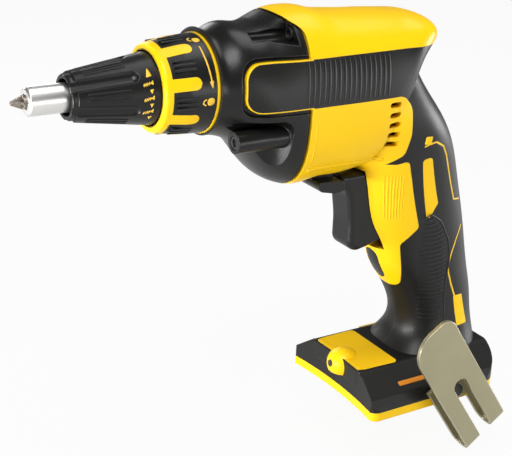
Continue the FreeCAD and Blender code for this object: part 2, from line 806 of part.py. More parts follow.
windows = [
    prism(GRIP_WINDOW, side, V(0, HALF_SPACE, 0)),
    prism(GRIP_BLOCK, side, V(0, HALF_SPACE, 0)),
    stripe(UPPER_STRIPE),
    stripe(LOWER_STRIPE),
    prism(FOOT_PANEL, lambda u, v: V(u, v, BAY_HEIGHT), V(0, 0, 2 * FOOT_TOP)),
    pinstripe_edge,
]
grip_left = skin.common(black_block)
for window in windows:
    grip_left = grip_left.cut(window)
grip_left = grip_left.cut(dome).cut(pad)

room = barrel_room.fuse(grip_room)
shell = form.fuse(pad).fuse(dome).cut(room)
ribs = []
for x in (stator_rear + RIB_INSET, stator_front - RIB_INSET - RIB):
    slice_low = slab(x, x + RIB, 0, HALF_SPACE, 0, SPINDLE_Z - RIB_DROP)
    ribs.append(barrel_room.common(slice_low).cut(rod(x, x + RIB, STATOR_R + SLIP, MOTOR_Z)))
web = slab(
    rear_bearing_x,
    rear_bearing_x + REAR_BEARING,
    0,
    HALF_SPACE,
    MOTOR_Z - WEB_HALF,
    MOTOR_Z + WEB_HALF,
)
ribs.append(room.common(web).cut(rod(0, SPLIT_X, REAR_BEARING_R + SLIP, MOTOR_Z)))
shelf = slab(
    SWITCH_REAR - SHELF_OVER,
    SWITCH_FRONT + SHELF_OVER,
    0,
    HALF_SPACE,
    SWITCH_BOTTOM - SHELF,
    SWITCH_BOTTOM,
)
ribs.append(room.common(shelf))
for x, z in HOUSING_SCREWS:
    ribs.append(room.common(cross_rod(x, z, 0, HALF_SPACE, SCREW_BOSS_R)))
for y, z, _ in CASE_SCREWS:
    boss = rod(
        SPLIT_X - CASE_SCREW_REACH - PAST,
        SPLIT_X - CASE_SPIGOT - FIT,
        CASE_BOSS_R,
        SPINDLE_Z + z,
        y,
    )
    ribs.append(room.common(boss))
shell = union([shell] + ribs)

rail_inner = BAY_HALF - RAIL_REACH
cuts = [
    slab(-HALF_SPACE, BAY_FRONT, 0, BAY_HALF, RAIL_LIP, BAY_HEIGHT),
    slab(-HALF_SPACE, BAY_FRONT, 0, rail_inner, FOOT_BOTTOM - PAST, RAIL_LIP),
    slab(
        BLOCK_REAR - FIT,
        BLOCK_FRONT + FIT,
        0,
        BLOCK_HALF + FIT,
        BAY_HEIGHT - PAST,
        inside_floor + PAST,
    ),
    slab(
        SWITCH_FRONT + SHELF_OVER,
        HALF_SPACE,
        0,
        TRIGGER_HALF + TRIGGER_GAP,
        TRIGGER_BOTTOM - TRIGGER_GAP,
        TRIGGER_TOP + TRIGGER_GAP,
    ),
    slab(
        STEM_REAR - FIT,
        STEM_FRONT + FIT,
        0,
        STEM_HALF + LEVER_TRAVEL + FIT,
        lever_low,
        stem_top + PAST,
    ),
    button_form(FIT, HALF_SPACE).translate(V(HALF_SPACE - BUTTON_DEPTH - BUTTON_TRAVEL - PAST, 0, 0)),
    Part.makeCylinder(LENS_R + SLIP, 2 * LENS_LENGTH, lens_back, lens_way),
    Part.makeCylinder(
        LIGHT_BOARD_R + SLIP, BOARD + FIT, lens_back - lens_way * (BOARD + FIT), lens_way
    ),
    cross_rod(hook_screw.x, hook_screw.z, hook_face - SCREW_DEPTH, hook_face + PAST, HOOK_SCREW_R),
]
fan_x = SPLIT_X + FAN_X
cuts.append(rod(fan_x - FAN_AIR, fan_x + FAN_LENGTH + FAN_AIR, FAN_R + FAN_AIR, MOTOR_Z))
for y, z, head in CASE_SCREWS:
    cuts.append(rod(SPLIT_X - CASE_SCREW_REACH, SPLIT_X + head, CASE_SCREW_R + SLIP, SPINDLE_Z + z, y))
for i in range(VENTS):
    z = SPINDLE_Z + VENT_TOP - i * VENT_PITCH
    ahead = VENT_FRONT - i * VENT_LEAN
    round_end = VENT_HEIGHT / 2 - SLIP
    corners = [
        (ahead, z, round_end),
        (ahead - VENT_LENGTH, z, round_end),
        (ahead - VENT_LENGTH, z - VENT_HEIGHT, round_end),
        (ahead, z - VENT_HEIGHT, round_end),
    ]
    cuts.append(prism(corners, side, V(0, HALF_SPACE, 0)))
for cut in cuts:
    shell = shell.cut(cut)
    grip_left = grip_left.cut(cut)
housing_blank = shell.cut(grip_left)

housing_left = housing_blank
housing_right = mirrored(housing_blank)
grip_right = mirrored(grip_left)
housing_screws = []
for x, z in HOUSING_SCREWS:
    shank = cross_rod(x, z, -SCREW_HALF, SCREW_HALF, SCREW_R)
    head = cross_rod(x, z, -SCREW_HALF - SCREW_HEAD, -SCREW_HALF, SCREW_HEAD_R)
    socket = cross_rod(x, z, -SCREW_HALF - SCREW_HEAD, -SCREW_HALF - SCREW_HEAD / 2, SCREW_R)
    housing_screws.append(shank.fuse(head).removeSplitter().cut(socket))
    way = cross_rod(x, z, -HALF_SPACE, -SCREW_HALF, SCREW_HEAD_R + FIT)
    housing_left = housing_left.cut(shank)
    housing_right = housing_right.cut(shank).cut(way)
    grip_right = grip_right.cut(way)

# Gear case
case_front = SPLIT_X + CASE_LENGTH
block = housing_side(FIT)
block = block.fuse(mirrored(block))
case_reach = slab(SPLIT_X, case_front, -HALF_SPACE, HALF_SPACE, 0, high_z)
case_inner = case_form.common(
    slab(SPLIT_X - CASE_SPIGOT, case_front, -HALF_SPACE, HALF_SPACE, 0, high_z)
)
gear_case = barrel(0.0).common(case_reach).cut(block).fuse(case_inner)
for y, z, head in CASE_SCREWS[:1]:
    boss = rod(SPLIT_X, SPLIT_X + head + CASE_HEAD + FIT, CASE_BOSS_R, SPINDLE_Z + z, y)
    gear_case = gear_case.fuse(boss).fuse(mirrored(boss))
    pocket_plan = [
        (SPLIT_X + POCKET_REAR, HALF_SPACE, 0),
        (SPLIT_X + POCKET_REAR, POCKET_FLOOR, POCKET_SWEEP),
        (SPLIT_X + POCKET_REACH, POCKET_FLOOR, 0),
        (SPLIT_X + POCKET_REACH, HALF_SPACE, 0),
    ]
    pocket_top = SPINDLE_Z + POCKET_HIGH
    pocket = prism(
        pocket_plan,
        lambda u, v: V(u, v, SPINDLE_Z + POCKET_LOW),
        V(0, 0, POCKET_HIGH - POCKET_LOW),
    )
    ceiling = []
    for edge in pocket.Edges:
        box = edge.BoundBox
        inside = box.YMin < HALF_SPACE - SLIP and box.XMin < SPLIT_X + POCKET_REACH - SLIP
        if inside and box.ZMin > pocket_top - SLIP:
            ceiling.append(edge)
    pocket = pocket.makeFillet(POCKET_CORNER, ceiling).cut(boss)
    gear_case = gear_case.cut(pocket).cut(mirrored(pocket))
scoop_y = SCOOP_CORNER[0]
scoop_z = SPINDLE_Z + SCOOP_CORNER[1]
scoop_corners = [
    (scoop_y, high_z, 0),
    (scoop_y, scoop_z, SCOOP_ROUND),
    (HALF_SPACE, scoop_z, 0),
    (HALF_SPACE, high_z, 0),
]
scoop = prism(scoop_corners, lambda u, v: V(SPLIT_X + SCOOP_REAR, u, v), V(*SCOOP_WAY))
relief = housing_side(GROOVE).cut(barrel_core)
for cut in (scoop, relief):
    gear_case = gear_case.cut(cut).cut(mirrored(cut))
spigot_front = case_front + SPIGOT_LENGTH
gear_case = gear_case.fuse(rod(SPLIT_X + CASE_LENGTH / 2, spigot_front, SPIGOT_R, SPINDLE_Z))
seat = rod(SPLIT_X + CASE_LENGTH / 2, case_front + COLLAR_SEAT_LENGTH, COLLAR_SEAT_R, SPINDLE_Z)
gear_case = gear_case.fuse(seat)
clutch_x = SPLIT_X + GEAR_ROOM_LENGTH
bush_x = SPLIT_X + BUSH_SETBACK
spindle_rooms = [
    plate_form.common(slab(0, SPLIT_X, -HALF_SPACE, HALF_SPACE, 0, high_z)),
    rod(0, clutch_x, GEAR_ROOM, SPINDLE_Z),
    rod(0, clutch_x, PINION_ROOM, MOTOR_Z),
    rod(clutch_x, clutch_x + CLUTCH_ROOM_LENGTH, CLUTCH_ROOM, SPINDLE_Z),
    rod(clutch_x, bush_x, SPINDLE_ROOM, SPINDLE_Z),
    rod(bush_x, spigot_front + PAST, BUSH_R, SPINDLE_Z),
]
for room_cut in spindle_rooms:
    gear_case = gear_case.cut(room_cut)
gear_case_screws = []
for y, z, head in CASE_SCREWS:
    z = SPINDLE_Z + z
    head_x = SPLIT_X + head
    screw = rod(SPLIT_X - CASE_SCREW_REACH, head_x, CASE_SCREW_R, z, y)
    screw = screw.fuse(rod(head_x, head_x + CASE_HEAD, CASE_HEAD_R, z, y)).removeSplitter()
    screw = screw.cut(rod(head_x + CASE_HEAD / 2, head_x + CASE_HEAD, CASE_SCREW_R, z, y))
    way = rod(head_x, head_x + DRIVER_POCKET, CASE_HEAD_R + FIT, z, y)
    hole = rod(0, head_x, CASE_SCREW_R + SLIP, z, y)
    for form_y in (screw, mirrored(screw)):
        gear_case_screws.append(form_y)
    for cut in (way, mirrored(way), hole, mirrored(hole)):
        gear_case = gear_case.cut(cut)

# Bearing plate between gears and motor
plate_x = SPLIT_X - PLATE
plate_outline = barrel(WALL + 2 * FIT + CASE_LIP)
gear_plate = plate_outline.common(slab(plate_x, SPLIT_X, -HALF_SPACE, HALF_SPACE, 0, high_z))
boss = rod(plate_x - FRONT_BEARING, plate_x, FRONT_BEARING_R + BEARING_BOSS, MOTOR_Z)
gear_plate = gear_plate.fuse(boss)
gear_plate = gear_plate.cut(rod(plate_x - FRONT_BEARING, plate_x, FRONT_BEARING_R, MOTOR_Z))
pinion_tip = MODULE * (PINION_TEETH / 2 + TOOTH_TIP)
gear_plate = gear_plate.cut(rod(0, SPLIT_X, pinion_tip + 2 * FIT, MOTOR_Z))
gear_plate = gear_plate.cut(rod(plate_x, SPLIT_X, GEAR_BEARING_R, SPINDLE_Z))
for y, z, _ in CASE_SCREWS:
    hole = rod(0, SPLIT_X, CASE_SCREW_R + FIT, SPINDLE_Z + z, y)
    gear_plate = gear_plate.cut(hole).cut(mirrored(hole))

# Drive gear with its clutch dogs
gear_x = SPLIT_X + GEAR_SETBACK
gear_front = gear_x + GEAR_FACE
drive_gear = involute_gear(GEAR_TEETH, gear_x, gear_front, SPINDLE_Z, math.pi / GEAR_TEETH)
hub = rod(plate_x, gear_front, GEAR_HUB_R, SPINDLE_Z)
shoulder = rod(plate_x + GEAR_BEARING, gear_x, GEAR_HUB_R + BEARING_RACE, SPINDLE_Z)
drive_gear = union([drive_gear, hub, shoulder] + dogs(gear_front, gear_front + DOG, 0.0))
drive_gear = drive_gear.cut(rod(0, SPLIT_X * 2, SPINDLE_TAIL_R + SLIP, SPINDLE_Z))
gear_bearing = bearing(plate_x, plate_x + GEAR_BEARING, GEAR_HUB_R, GEAR_BEARING_R, SPINDLE_Z)

# Spindle
flange_x = SPLIT_X + FLANGE_X
spindle_front = SPLIT_X + SPINDLE_FRONT
spindle = rod(flange_x, spindle_front, SPINDLE_R, SPINDLE_Z)
tail = rod(SPLIT_X + SPINDLE_TAIL, flange_x, SPINDLE_TAIL_R, SPINDLE_Z)
flange = rod(flange_x, flange_x + FLANGE, FLANGE_R, SPINDLE_Z)
spindle = union([spindle, tail, flange] + dogs(flange_x - DOG, flange_x, 180.0 / DOG_COUNT))
shank_x = spindle_front - HOLDER_SHANK
spindle = spindle.cut(hex_rod(shank_x, spindle_front, HEX + HEX_SLIP, SPINDLE_Z))
clutch_spring = coil_spring(
    gear_front + FIT, flange_x - FIT, SPRING_R, SPRING_WIRE, SPRING_TURNS, SPINDLE_Z
)
bush_front = bush_x + BUSH_LENGTH
spindle_bush = tube(bush_x, bush_front, SPINDLE_R + SLIP, BUSH_R, SPINDLE_Z)
spindle_seal = tube(bush_front, bush_front + SEAL_LENGTH, SPINDLE_R + SLIP, BUSH_R, SPINDLE_Z)

# Collar
collar_rear = case_front + INDEX_RING + FIT
collar_front = collar_rear + COLLAR_LENGTH
seat_front = case_front + COLLAR_SEAT_LENGTH


def collar_form(inset, bore):
    return turned(
        [
            (collar_rear, bore, 0),
            (collar_front, bore, 0),
            (collar_front, COLLAR_FRONT_R - inset, COLLAR_EDGE),
            (collar_front - COLLAR_LENGTH / 2, COLLAR_MIDDLE_R - inset, COLLAR_SWEEP),
            (collar_rear, COLLAR_R - inset, 0),
        ],
        SPINDLE_Z,
    )


collar = collar_form(0.0, COLLAR_BORE)
collar = collar.cut(rod(0, seat_front + FIT, COLLAR_SEAT_R + SLIP, SPINDLE_Z))
band_x = collar_front - TRIM_BAND
trim_reach = rod(band_x, collar_front, COLLAR_R + PAST, SPINDLE_Z)
finger_end = band_x - FINGER_LENGTH
half_finger = FINGER_WIDTH / 2
for i in range(FINGERS):
    corners = [
        (band_x + PAST, half_finger, 0),
        (finger_end, half_finger, half_finger - SLIP),
        (finger_end, -half_finger, half_finger - SLIP),
        (band_x + PAST, -half_finger, 0),
    ]
    finger = prism(corners, lambda u, v: V(u, v, SPINDLE_Z), V(0, 0, COLLAR_R + PAST))
    finger.rotate(V(0, 0, SPINDLE_Z), V(1, 0, 0), 360.0 * i / FINGERS + FINGER_PHASE)
    trim_reach = trim_reach.fuse(finger)
trim_layer = collar_form(0.0, COLLAR_BORE).cut(collar_form(TRIM, COLLAR_BORE - PAST))
collar_trim = trim_layer.common(trim_reach)
lock_collar = collar.cut(collar_trim)
index_ring = tube(
    case_front, case_front + INDEX_RING, COLLAR_SEAT_R + SLIP, COLLAR_R + FIT, SPINDLE_Z
)

# Depth ring and nose cone
ring_rear = collar_front - RING_SETBACK
ring_r = SPIGOT_R + SLIP + RING_WALL
depth_ring = tube(ring_rear, ring_rear + RING_LENGTH, SPIGOT_R + SLIP, ring_r, SPINDLE_Z)
cone_front = collar_front + CONE_LENGTH
skirt_rear = collar_front - CONE_SKIRT
cone_bore = ring_r + SLIP
bore_end = max(spigot_front, ring_rear + RING_LENGTH) + DEPTH_TRAVEL + 2 * FIT
nose_cone = turned(
    [
        (skirt_rear, cone_bore, 0),
        (bore_end, cone_bore, 0),
        (bore_end + CONE_STEP, CONE_THROAT, 0),
        (cone_front - 2 * CONE_LIP, CONE_MOUTH + CONE_EDGE, 0),
        (cone_front - CONE_LIP, CONE_MOUTH, 0),
        (cone_front, CONE_MOUTH, CONE_EDGE / 2),
        (cone_front, CONE_FRONT_R, CONE_EDGE),
        (cone_front - CONE_LIP, CONE_FRONT_R, 0),
        (cone_front - CONE_LIP, CONE_FRONT_R + CONE_EDGE, CONE_EDGE / 2),
        (collar_front, CONE_REAR_R, 0),
        (skirt_rear, CONE_REAR_R, 0),
    ],
    SPINDLE_Z,
)
slope = (CONE_REAR_R - CONE_FRONT_R - CONE_EDGE) / (CONE_LENGTH - CONE_LIP)
for i in range(FLUTES):
    start_r = CONE_FRONT_R + CONE_EDGE + FLUTE_R - FLUTE_DEPTH
    end_r = start_r + slope * FLUTE_LENGTH
    start = V(cone_front + PAST, 0, SPINDLE_Z + start_r - slope * (CONE_LIP + PAST))
    end = V(cone_front - CONE_LIP - FLUTE_LENGTH, 0, SPINDLE_Z + end_r)
    flute = Part.makeCylinder(FLUTE_R, (end - start).Length, start, end - start)
    flute = flute.fuse(Part.makeSphere(FLUTE_R, end))
    flute.rotate(V(0, 0, SPINDLE_Z), V(1, 0, 0), 360.0 * i / FLUTES + FLUTE_PHASE)
    nose_cone = nose_cone.cut(flute)

# Bit holder, magnet and bit
holder_front = cone_front + HOLDER_REACH
bit_tip = holder_front + BIT_REACH
bit_rear = bit_tip - BIT_LENGTH
magnet_x = bit_rear - MAGNET
bit_holder = turned(
    [
        (spindle_front, 0, 0),
        (holder_front, 0, 0),
        (holder_front, HOLDER_R - HOLDER_EDGE, 0),
        (holder_front - HOLDER_EDGE, HOLDER_R, 0),
        (spindle_front, HOLDER_R, HOLDER_EDGE),
    ],
    SPINDLE_Z,
)
bit_holder = bit_holder.fuse(hex_rod(shank_x, spindle_front, HEX, SPINDLE_Z))
bit_holder = bit_holder.cut(hex_rod(bit_rear, holder_front, HEX + HEX_SLIP, SPINDLE_Z))
bit_holder = bit_holder.cut(rod(magnet_x, bit_rear, MAGNET_R, SPINDLE_Z))
holder_magnet = rod(magnet_x, bit_rear, MAGNET_R, SPINDLE_Z)
neck_x = holder_front - PAST
driver_bit = hex_rod(bit_rear, neck_x, HEX, SPINDLE_Z)
driver_bit = driver_bit.fuse(rod(neck_x, bit_tip - BIT_POINT, BIT_NECK_R, SPINDLE_Z))
driver_bit = driver_bit.fuse(
    Part.makeCone(BIT_NECK_R, BIT_POINT_R, BIT_POINT, V(bit_tip - BIT_POINT, 0, SPINDLE_Z), V(1, 0, 0))
)
for y in (-1, 1):
    for z in (-1, 1):
        corner_y = y * (BIT_WING / 2 + BIT_NECK_R / 2)
        corner_z = SPINDLE_Z + z * (BIT_WING / 2 + BIT_NECK_R / 2)
        groove = slab(
            bit_tip - BIT_POINT - FIT,
            bit_tip + PAST,
            corner_y - BIT_NECK_R / 2,
            corner_y + BIT_NECK_R / 2,
            corner_z - BIT_NECK_R / 2,
            corner_z + BIT_NECK_R / 2,
        )
        driver_bit = driver_bit.cut(groove)

# Motor
shaft_rear = rear_bearing_x - SHAFT_OVER
pinion_x = gear_x - (PINION_FACE - GEAR_FACE) / 2
motor_shaft = rod(shaft_rear, pinion_x, SHAFT_R, MOTOR_Z)
motor_shaft = motor_shaft.fuse(
    involute_gear(PINION_TEETH, pinion_x, pinion_x + PINION_FACE, MOTOR_Z, 0.0)
)
rotor_r = STATOR_BORE - AIR_GAP
rotor = tube(stator_rear - ROTOR_OVER, stator_front + ROTOR_OVER, SHAFT_R, rotor_r, MOTOR_Z)
stator = tube(stator_rear, stator_front, STATOR_R - YOKE, STATOR_R, MOTOR_Z)
stator_coils = []
stator_ring = tube(stator_rear, stator_front, STATOR_BORE, STATOR_BORE + STATOR_SHOE, MOTOR_Z)
bore_rod = rod(stator_rear - COIL_END, stator_front + COIL_END, STATOR_BORE, MOTOR_Z)
for i in range(STATOR_SLOTS):
    angle = 360.0 * i / STATOR_SLOTS
    tooth = slab(
        stator_rear,
        stator_front,
        -TOOTH_HALF,
        TOOTH_HALF,
        MOTOR_Z,
        MOTOR_Z + STATOR_R - YOKE / 2,
    ).cut(bore_rod)
    shoe_half = TOOTH_HALF + SHOE_OVER
    foot_wide = slab(stator_rear, stator_front, -shoe_half, shoe_half, MOTOR_Z, MOTOR_Z + STATOR_R)
    tooth = tooth.fuse(stator_ring.common(foot_wide))
    outer_half = TOOTH_HALF + COIL_BUILD
    coil = slab(
        stator_rear - COIL_END,
        stator_front + COIL_END,
        -outer_half,
        outer_half,
        MOTOR_Z + STATOR_BORE + STATOR_SHOE + FIT,
        MOTOR_Z + STATOR_R - YOKE - COIL_SETBACK,
    ).cut(slab(stator_rear, stator_front, -TOOTH_HALF, TOOTH_HALF, MOTOR_Z, MOTOR_Z + STATOR_R))
    for piece in (tooth, coil):
        piece.rotate(V(0, 0, MOTOR_Z), V(1, 0, 0), angle)
    stator = stator.fuse(tooth)
    stator_coils.append(coil)
stator = stator.removeSplitter()
cooling_fan = tube(fan_x, fan_x + FAN_LENGTH, SHAFT_R, FAN_HUB_R, MOTOR_Z)
cooling_fan = cooling_fan.fuse(tube(fan_x, fan_x + FAN_PLATE, SHAFT_R, FAN_R, MOTOR_Z))
for i in range(FAN_BLADES):
    blade = slab(
        fan_x,
        fan_x + FAN_LENGTH,
        -FAN_BLADE / 2,
        FAN_BLADE / 2,
        MOTOR_Z + SHAFT_R + PAST,
        MOTOR_Z + FAN_R - FIT,
    )
    blade.rotate(V(0, 0, MOTOR_Z), V(1, 0, 0), 360.0 * i / FAN_BLADES)
    cooling_fan = cooling_fan.fuse(blade)
cooling_fan = cooling_fan.removeSplitter()
front_bearing = bearing(plate_x - FRONT_BEARING, plate_x, SHAFT_R, FRONT_BEARING_R, MOTOR_Z)
rear_bearing = bearing(rear_bearing_x, rear_bearing_x + REAR_BEARING, SHAFT_R, REAR_BEARING_R, MOTOR_Z)
sensor_board = tube(plate_x - BOARD, plate_x, FRONT_BEARING_R + BEARING_BOSS + SLIP, BOARD_R, MOTOR_Z)
sensor_board = sensor_board.common(plate_form)
for y, z, _ in CASE_SCREWS:
    hole = rod(0, SPLIT_X, CASE_BOSS_R + FIT, SPINDLE_Z + z, y)
    sensor_board = sensor_board.cut(hole).cut(mirrored(hole))

# Trigger, its return spring and the switch
trigger = prism(TRIGGER_SIDE, lambda u, v: V(u, -TRIGGER_HALF, v), V(0, 2 * TRIGGER_HALF, 0))
long_edges = [e for e in trigger.Edges if abs(abs(e.CenterOfMass.y) - TRIGGER_HALF) < 1e-6]
front_edges = [e for e in long_edges if e.BoundBox.XMin > TRIGGER_REAR + TRIGGER_ROUND]
trigger = trigger.makeFillet(TRIGGER_ROUND, front_edges)
seat_x = TRIGGER_REAR + SPRING_SEAT
plunger = rod(SWITCH_FRONT - SPRING_SEAT, seat_x + PAST, PLUNGER_R, PLUNGER_Z)
spring_outer = PLUNGER_R + FIT + SPRING_WIRE
trigger = trigger.cut(rod(0, seat_x, spring_outer + FIT, PLUNGER_Z)).fuse(plunger)
switch_module = slab(SWITCH_REAR, SWITCH_FRONT, -SWITCH_HALF, SWITCH_HALF, SWITCH_BOTTOM, SWITCH_TOP)
switch_module = switch_module.makeChamfer(MODULE_EDGE, switch_module.Edges)
switch_module = switch_module.cut(
    rod(SWITCH_FRONT - PLUNGER_DEPTH, SWITCH_FRONT, PLUNGER_R + SLIP, PLUNGER_Z)
)
trigger_spring = coil_spring(
    SWITCH_FRONT + FIT,
    seat_x - FIT,
    PLUNGER_R + FIT + SPRING_WIRE / 2,
    SPRING_WIRE,
    SPRING_TURNS,
    PLUNGER_Z,
)

# Forward and reverse lever, a cross slide ahead of the trigger
reverse_lever = prism(LEVER_SIDE, lambda u, v: V(u, -LEVER_HALF, v), V(0, 2 * LEVER_HALF, 0))
stem = slab(STEM_REAR, STEM_FRONT, -STEM_HALF, STEM_HALF, (lever_low + TRIGGER_TOP) / 2, stem_top)
reverse_lever = reverse_lever.fuse(stem).removeSplitter()

lock_button = button_form(0.0, BUTTON_DEPTH)
button_reach = button_form(0.0, 2 * HALF_SPACE).translate(V(HALF_SPACE, 0, 0))
button_cap = button_reach.common(grip_outer.fuse(mirrored(grip_outer)))
button_space = slab(BUTTON_X - BUTTON_DEPTH, HALF_SPACE, -HALF_SPACE, HALF_SPACE, 0, SPINDLE_Z)
button_cap = button_cap.common(button_space)
lock_button = lock_button.fuse(button_cap).removeSplitter()

# Terminal block, its blades and the control module
block_flange = inside_floor + BLOCK_FLANGE
terminal_block = slab(BLOCK_REAR, BLOCK_FRONT, -BLOCK_HALF, BLOCK_HALF, BLOCK_BOTTOM, block_flange)
terminal_block = terminal_block.fuse(
    slab(
        BLOCK_REAR - BLOCK_RIM,
        BLOCK_FRONT + BLOCK_RIM,
        -BLOCK_HALF - BLOCK_RIM,
        BLOCK_HALF + BLOCK_RIM,
        inside_floor,
        block_flange,
    )
).removeSplitter()
terminal_blades = []
for i in range(BLADES):
    y = (i - (BLADES - 1) / 2) * BLADE_PITCH
    blade = slab(
        BLOCK_FRONT - BLADE_LENGTH - BLADE_DROP,
        BLOCK_FRONT - BLADE_DROP,
        y - BLADE / 2,
        y + BLADE / 2,
        BLOCK_BOTTOM - BLADE_DROP,
        BLOCK_BOTTOM + BLADE_ROOT,
    )
    terminal_block = terminal_block.cut(blade)
    terminal_blades.append(blade)
control_module = slab(
    MODULE_REAR, MODULE_FRONT, -MODULE_HALF, MODULE_HALF, block_flange, block_flange + MODULE_HEIGHT
)
control_module = control_module.makeChamfer(MODULE_EDGE, control_module.Edges)

# Work light in the dome at the front of the foot
light_lens = Part.makeCylinder(LENS_R, LENS_LENGTH, lens_back, lens_way)
light_board = Part.makeCylinder(LIGHT_BOARD_R, BOARD, lens_back - lens_way * BOARD, lens_way)

# Belt hook and its screw
inner_y = hook_face
bend_r = HOOK_GAP / 2
outer_y = inner_y + HOOK + HOOK_GAP


def on_hook(y):
    def place(u, v):
        return hook_top + hook_axis * u + hook_across * v + V(0, y, 0)

    return place


def hook_strip(u0, u1, v0, v1, y):
    return prism(square([(u0, v0), (u1, v0), (u1, v1), (u0, v1)]), on_hook(y), V(0, HOOK, 0))


outer_plate = prism(
    [
        (0, -HOOK_HALF, HOOK_CORNER),
        (HOOK_LENGTH, -HOOK_HALF, 0),
        (HOOK_LENGTH, HOOK_HALF, 0),
        (0, HOOK_HALF, HOOK_CORNER / 2),
    ],
    on_hook(outer_y),
    V(0, HOOK, 0),
)
inner_plate = hook_strip(HOOK_INNER_TOP, HOOK_LENGTH, -HOOK_HALF, HOOK_HALF, inner_y)
bend_centre = hook_top + hook_axis * HOOK_LENGTH + V(0, inner_y + HOOK + bend_r, 0)
bend_start = bend_centre - hook_across * HOOK_HALF
bend = Part.makeCylinder(bend_r + HOOK, 2 * HOOK_HALF, bend_start, hook_across)
bend = bend.cut(Part.makeCylinder(bend_r, 2 * HOOK_HALF, bend_start, hook_across))
hook_end = HOOK_LENGTH + 2 * (bend_r + HOOK)
bend_corners = [
    (HOOK_LENGTH, -HOOK_HALF),
    (hook_end, -HOOK_HALF),
    (hook_end, HOOK_HALF),
    (HOOK_LENGTH, HOOK_HALF),
]
below = prism(
    square(bend_corners),
    on_hook(inner_y - PAST),
    V(0, 2 * (HOOK + PAST) + HOOK_GAP, 0),
)
bend = bend.common(below)
belt_hook = union([outer_plate, bend, inner_plate])
slot_half = HOOK_SLOT / 2
slot_corner = slot_half - SLIP
slot = prism(
    [
        (HOOK_SLOT_TOP, -slot_half, slot_corner),
        (hook_end, -slot_half, 0),
        (hook_end, slot_half, 0),
        (HOOK_SLOT_TOP, slot_half, slot_corner),
    ],
    on_hook(inner_y + HOOK),
    V(0, HOOK + HOOK_GAP, 0),
)
tab_end = HOOK_SCREW + 2 * HOOK_HEAD_R
lower_slot = prism(
    square([(tab_end, -slot_half), (hook_end, -slot_half), (hook_end, slot_half), (tab_end, slot_half)]),
    on_hook(inner_y - PAST),
    V(0, HOOK + 2 * PAST, 0),
)
belt_hook = belt_hook.cut(slot).cut(lower_slot)
belt_hook = belt_hook.cut(
    cross_rod(hook_screw.x, hook_screw.z, inner_y - PAST, inner_y + HOOK + PAST, HOOK_SCREW_R + SLIP)
)
hook_screw_piece = cross_rod(
    hook_screw.x, hook_screw.z, hook_face - SCREW_DEPTH, inner_y + HOOK, HOOK_SCREW_R
)
screw_head = cross_rod(
    hook_screw.x, hook_screw.z, inner_y + HOOK, inner_y + HOOK + HOOK_HEAD, HOOK_HEAD_R
)
hook_screw_piece = hook_screw_piece.fuse(screw_head).removeSplitter()

os.makedirs("parts", exist_ok=True)
pieces = {
    "driver_bit": driver_bit,
    "bit_holder": bit_holder,
    "holder_magnet": holder_magnet,
    "nose_cone": nose_cone,
    "depth_ring": depth_ring,
    "lock_collar": lock_collar,
    "collar_trim": collar_trim,
    "index_ring": index_ring,
    "gear_case": gear_case,
    "gear_case_screws": gear_case_screws,
    "gear_plate": gear_plate,
    "gear_bearing": gear_bearing,
    "drive_gear": drive_gear,
    "spindle": spindle,
    "clutch_spring": clutch_spring,
    "spindle_bush": spindle_bush,
    "spindle_seal": spindle_seal,
    "motor_shaft": motor_shaft,
    "rotor": rotor,
    "stator": stator,
    "stator_coils": stator_coils,
    "cooling_fan": cooling_fan,
    "front_bearing": front_bearing,
    "rear_bearing": rear_bearing,
    "sensor_board": sensor_board,
    "housing_left": housing_left,
    "housing_right": housing_right,
    "grip_left": grip_left,
    "grip_right": grip_right,
    "housing_screws": housing_screws,
    "trigger": trigger,
    "trigger_spring": trigger_spring,
    "switch_module": switch_module,
    "reverse_lever": reverse_lever,
    "lock_button": lock_button,
    "terminal_block": terminal_block,
    "terminal_blades": terminal_blades,
    "control_module": control_module,
    "light_lens": light_lens,
    "light_board": light_board,
    "belt_hook": belt_hook,
    "hook_screw": hook_screw_piece,
}
for name, shape in pieces.items():
    if isinstance(shape, list):
        shape = Part.makeCompound(shape)
    print(name, "valid", shape.isValid(), "solids", len(shape.Solids), "volume", round(shape.Volume))
    shape.exportStep("parts/" + name + ".step")
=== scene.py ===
import math

import bmesh
import bpy
from mathutils import Matrix, Vector
from mathutils.bvhtree import BVHTree


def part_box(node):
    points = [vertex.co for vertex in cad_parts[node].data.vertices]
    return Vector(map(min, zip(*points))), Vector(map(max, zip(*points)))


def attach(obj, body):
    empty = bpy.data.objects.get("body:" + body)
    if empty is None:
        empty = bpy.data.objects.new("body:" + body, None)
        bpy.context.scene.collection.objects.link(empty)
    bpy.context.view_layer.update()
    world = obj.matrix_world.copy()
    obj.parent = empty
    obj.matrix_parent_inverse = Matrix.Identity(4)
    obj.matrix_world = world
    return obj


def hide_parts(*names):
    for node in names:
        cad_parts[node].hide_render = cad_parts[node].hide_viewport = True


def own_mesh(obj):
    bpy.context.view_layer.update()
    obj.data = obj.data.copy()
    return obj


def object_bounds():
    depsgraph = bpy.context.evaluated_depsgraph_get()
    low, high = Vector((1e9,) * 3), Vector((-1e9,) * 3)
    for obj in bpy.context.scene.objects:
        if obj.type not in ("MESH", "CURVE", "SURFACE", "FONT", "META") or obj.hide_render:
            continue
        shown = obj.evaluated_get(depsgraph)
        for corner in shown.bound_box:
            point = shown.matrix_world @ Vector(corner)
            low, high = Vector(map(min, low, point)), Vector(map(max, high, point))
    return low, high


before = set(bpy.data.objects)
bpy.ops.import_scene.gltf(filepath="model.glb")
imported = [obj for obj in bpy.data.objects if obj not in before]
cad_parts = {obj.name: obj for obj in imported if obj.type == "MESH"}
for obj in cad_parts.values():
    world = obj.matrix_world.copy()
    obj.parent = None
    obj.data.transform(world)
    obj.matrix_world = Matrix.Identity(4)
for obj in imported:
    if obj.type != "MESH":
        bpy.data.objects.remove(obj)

cad_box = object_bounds()


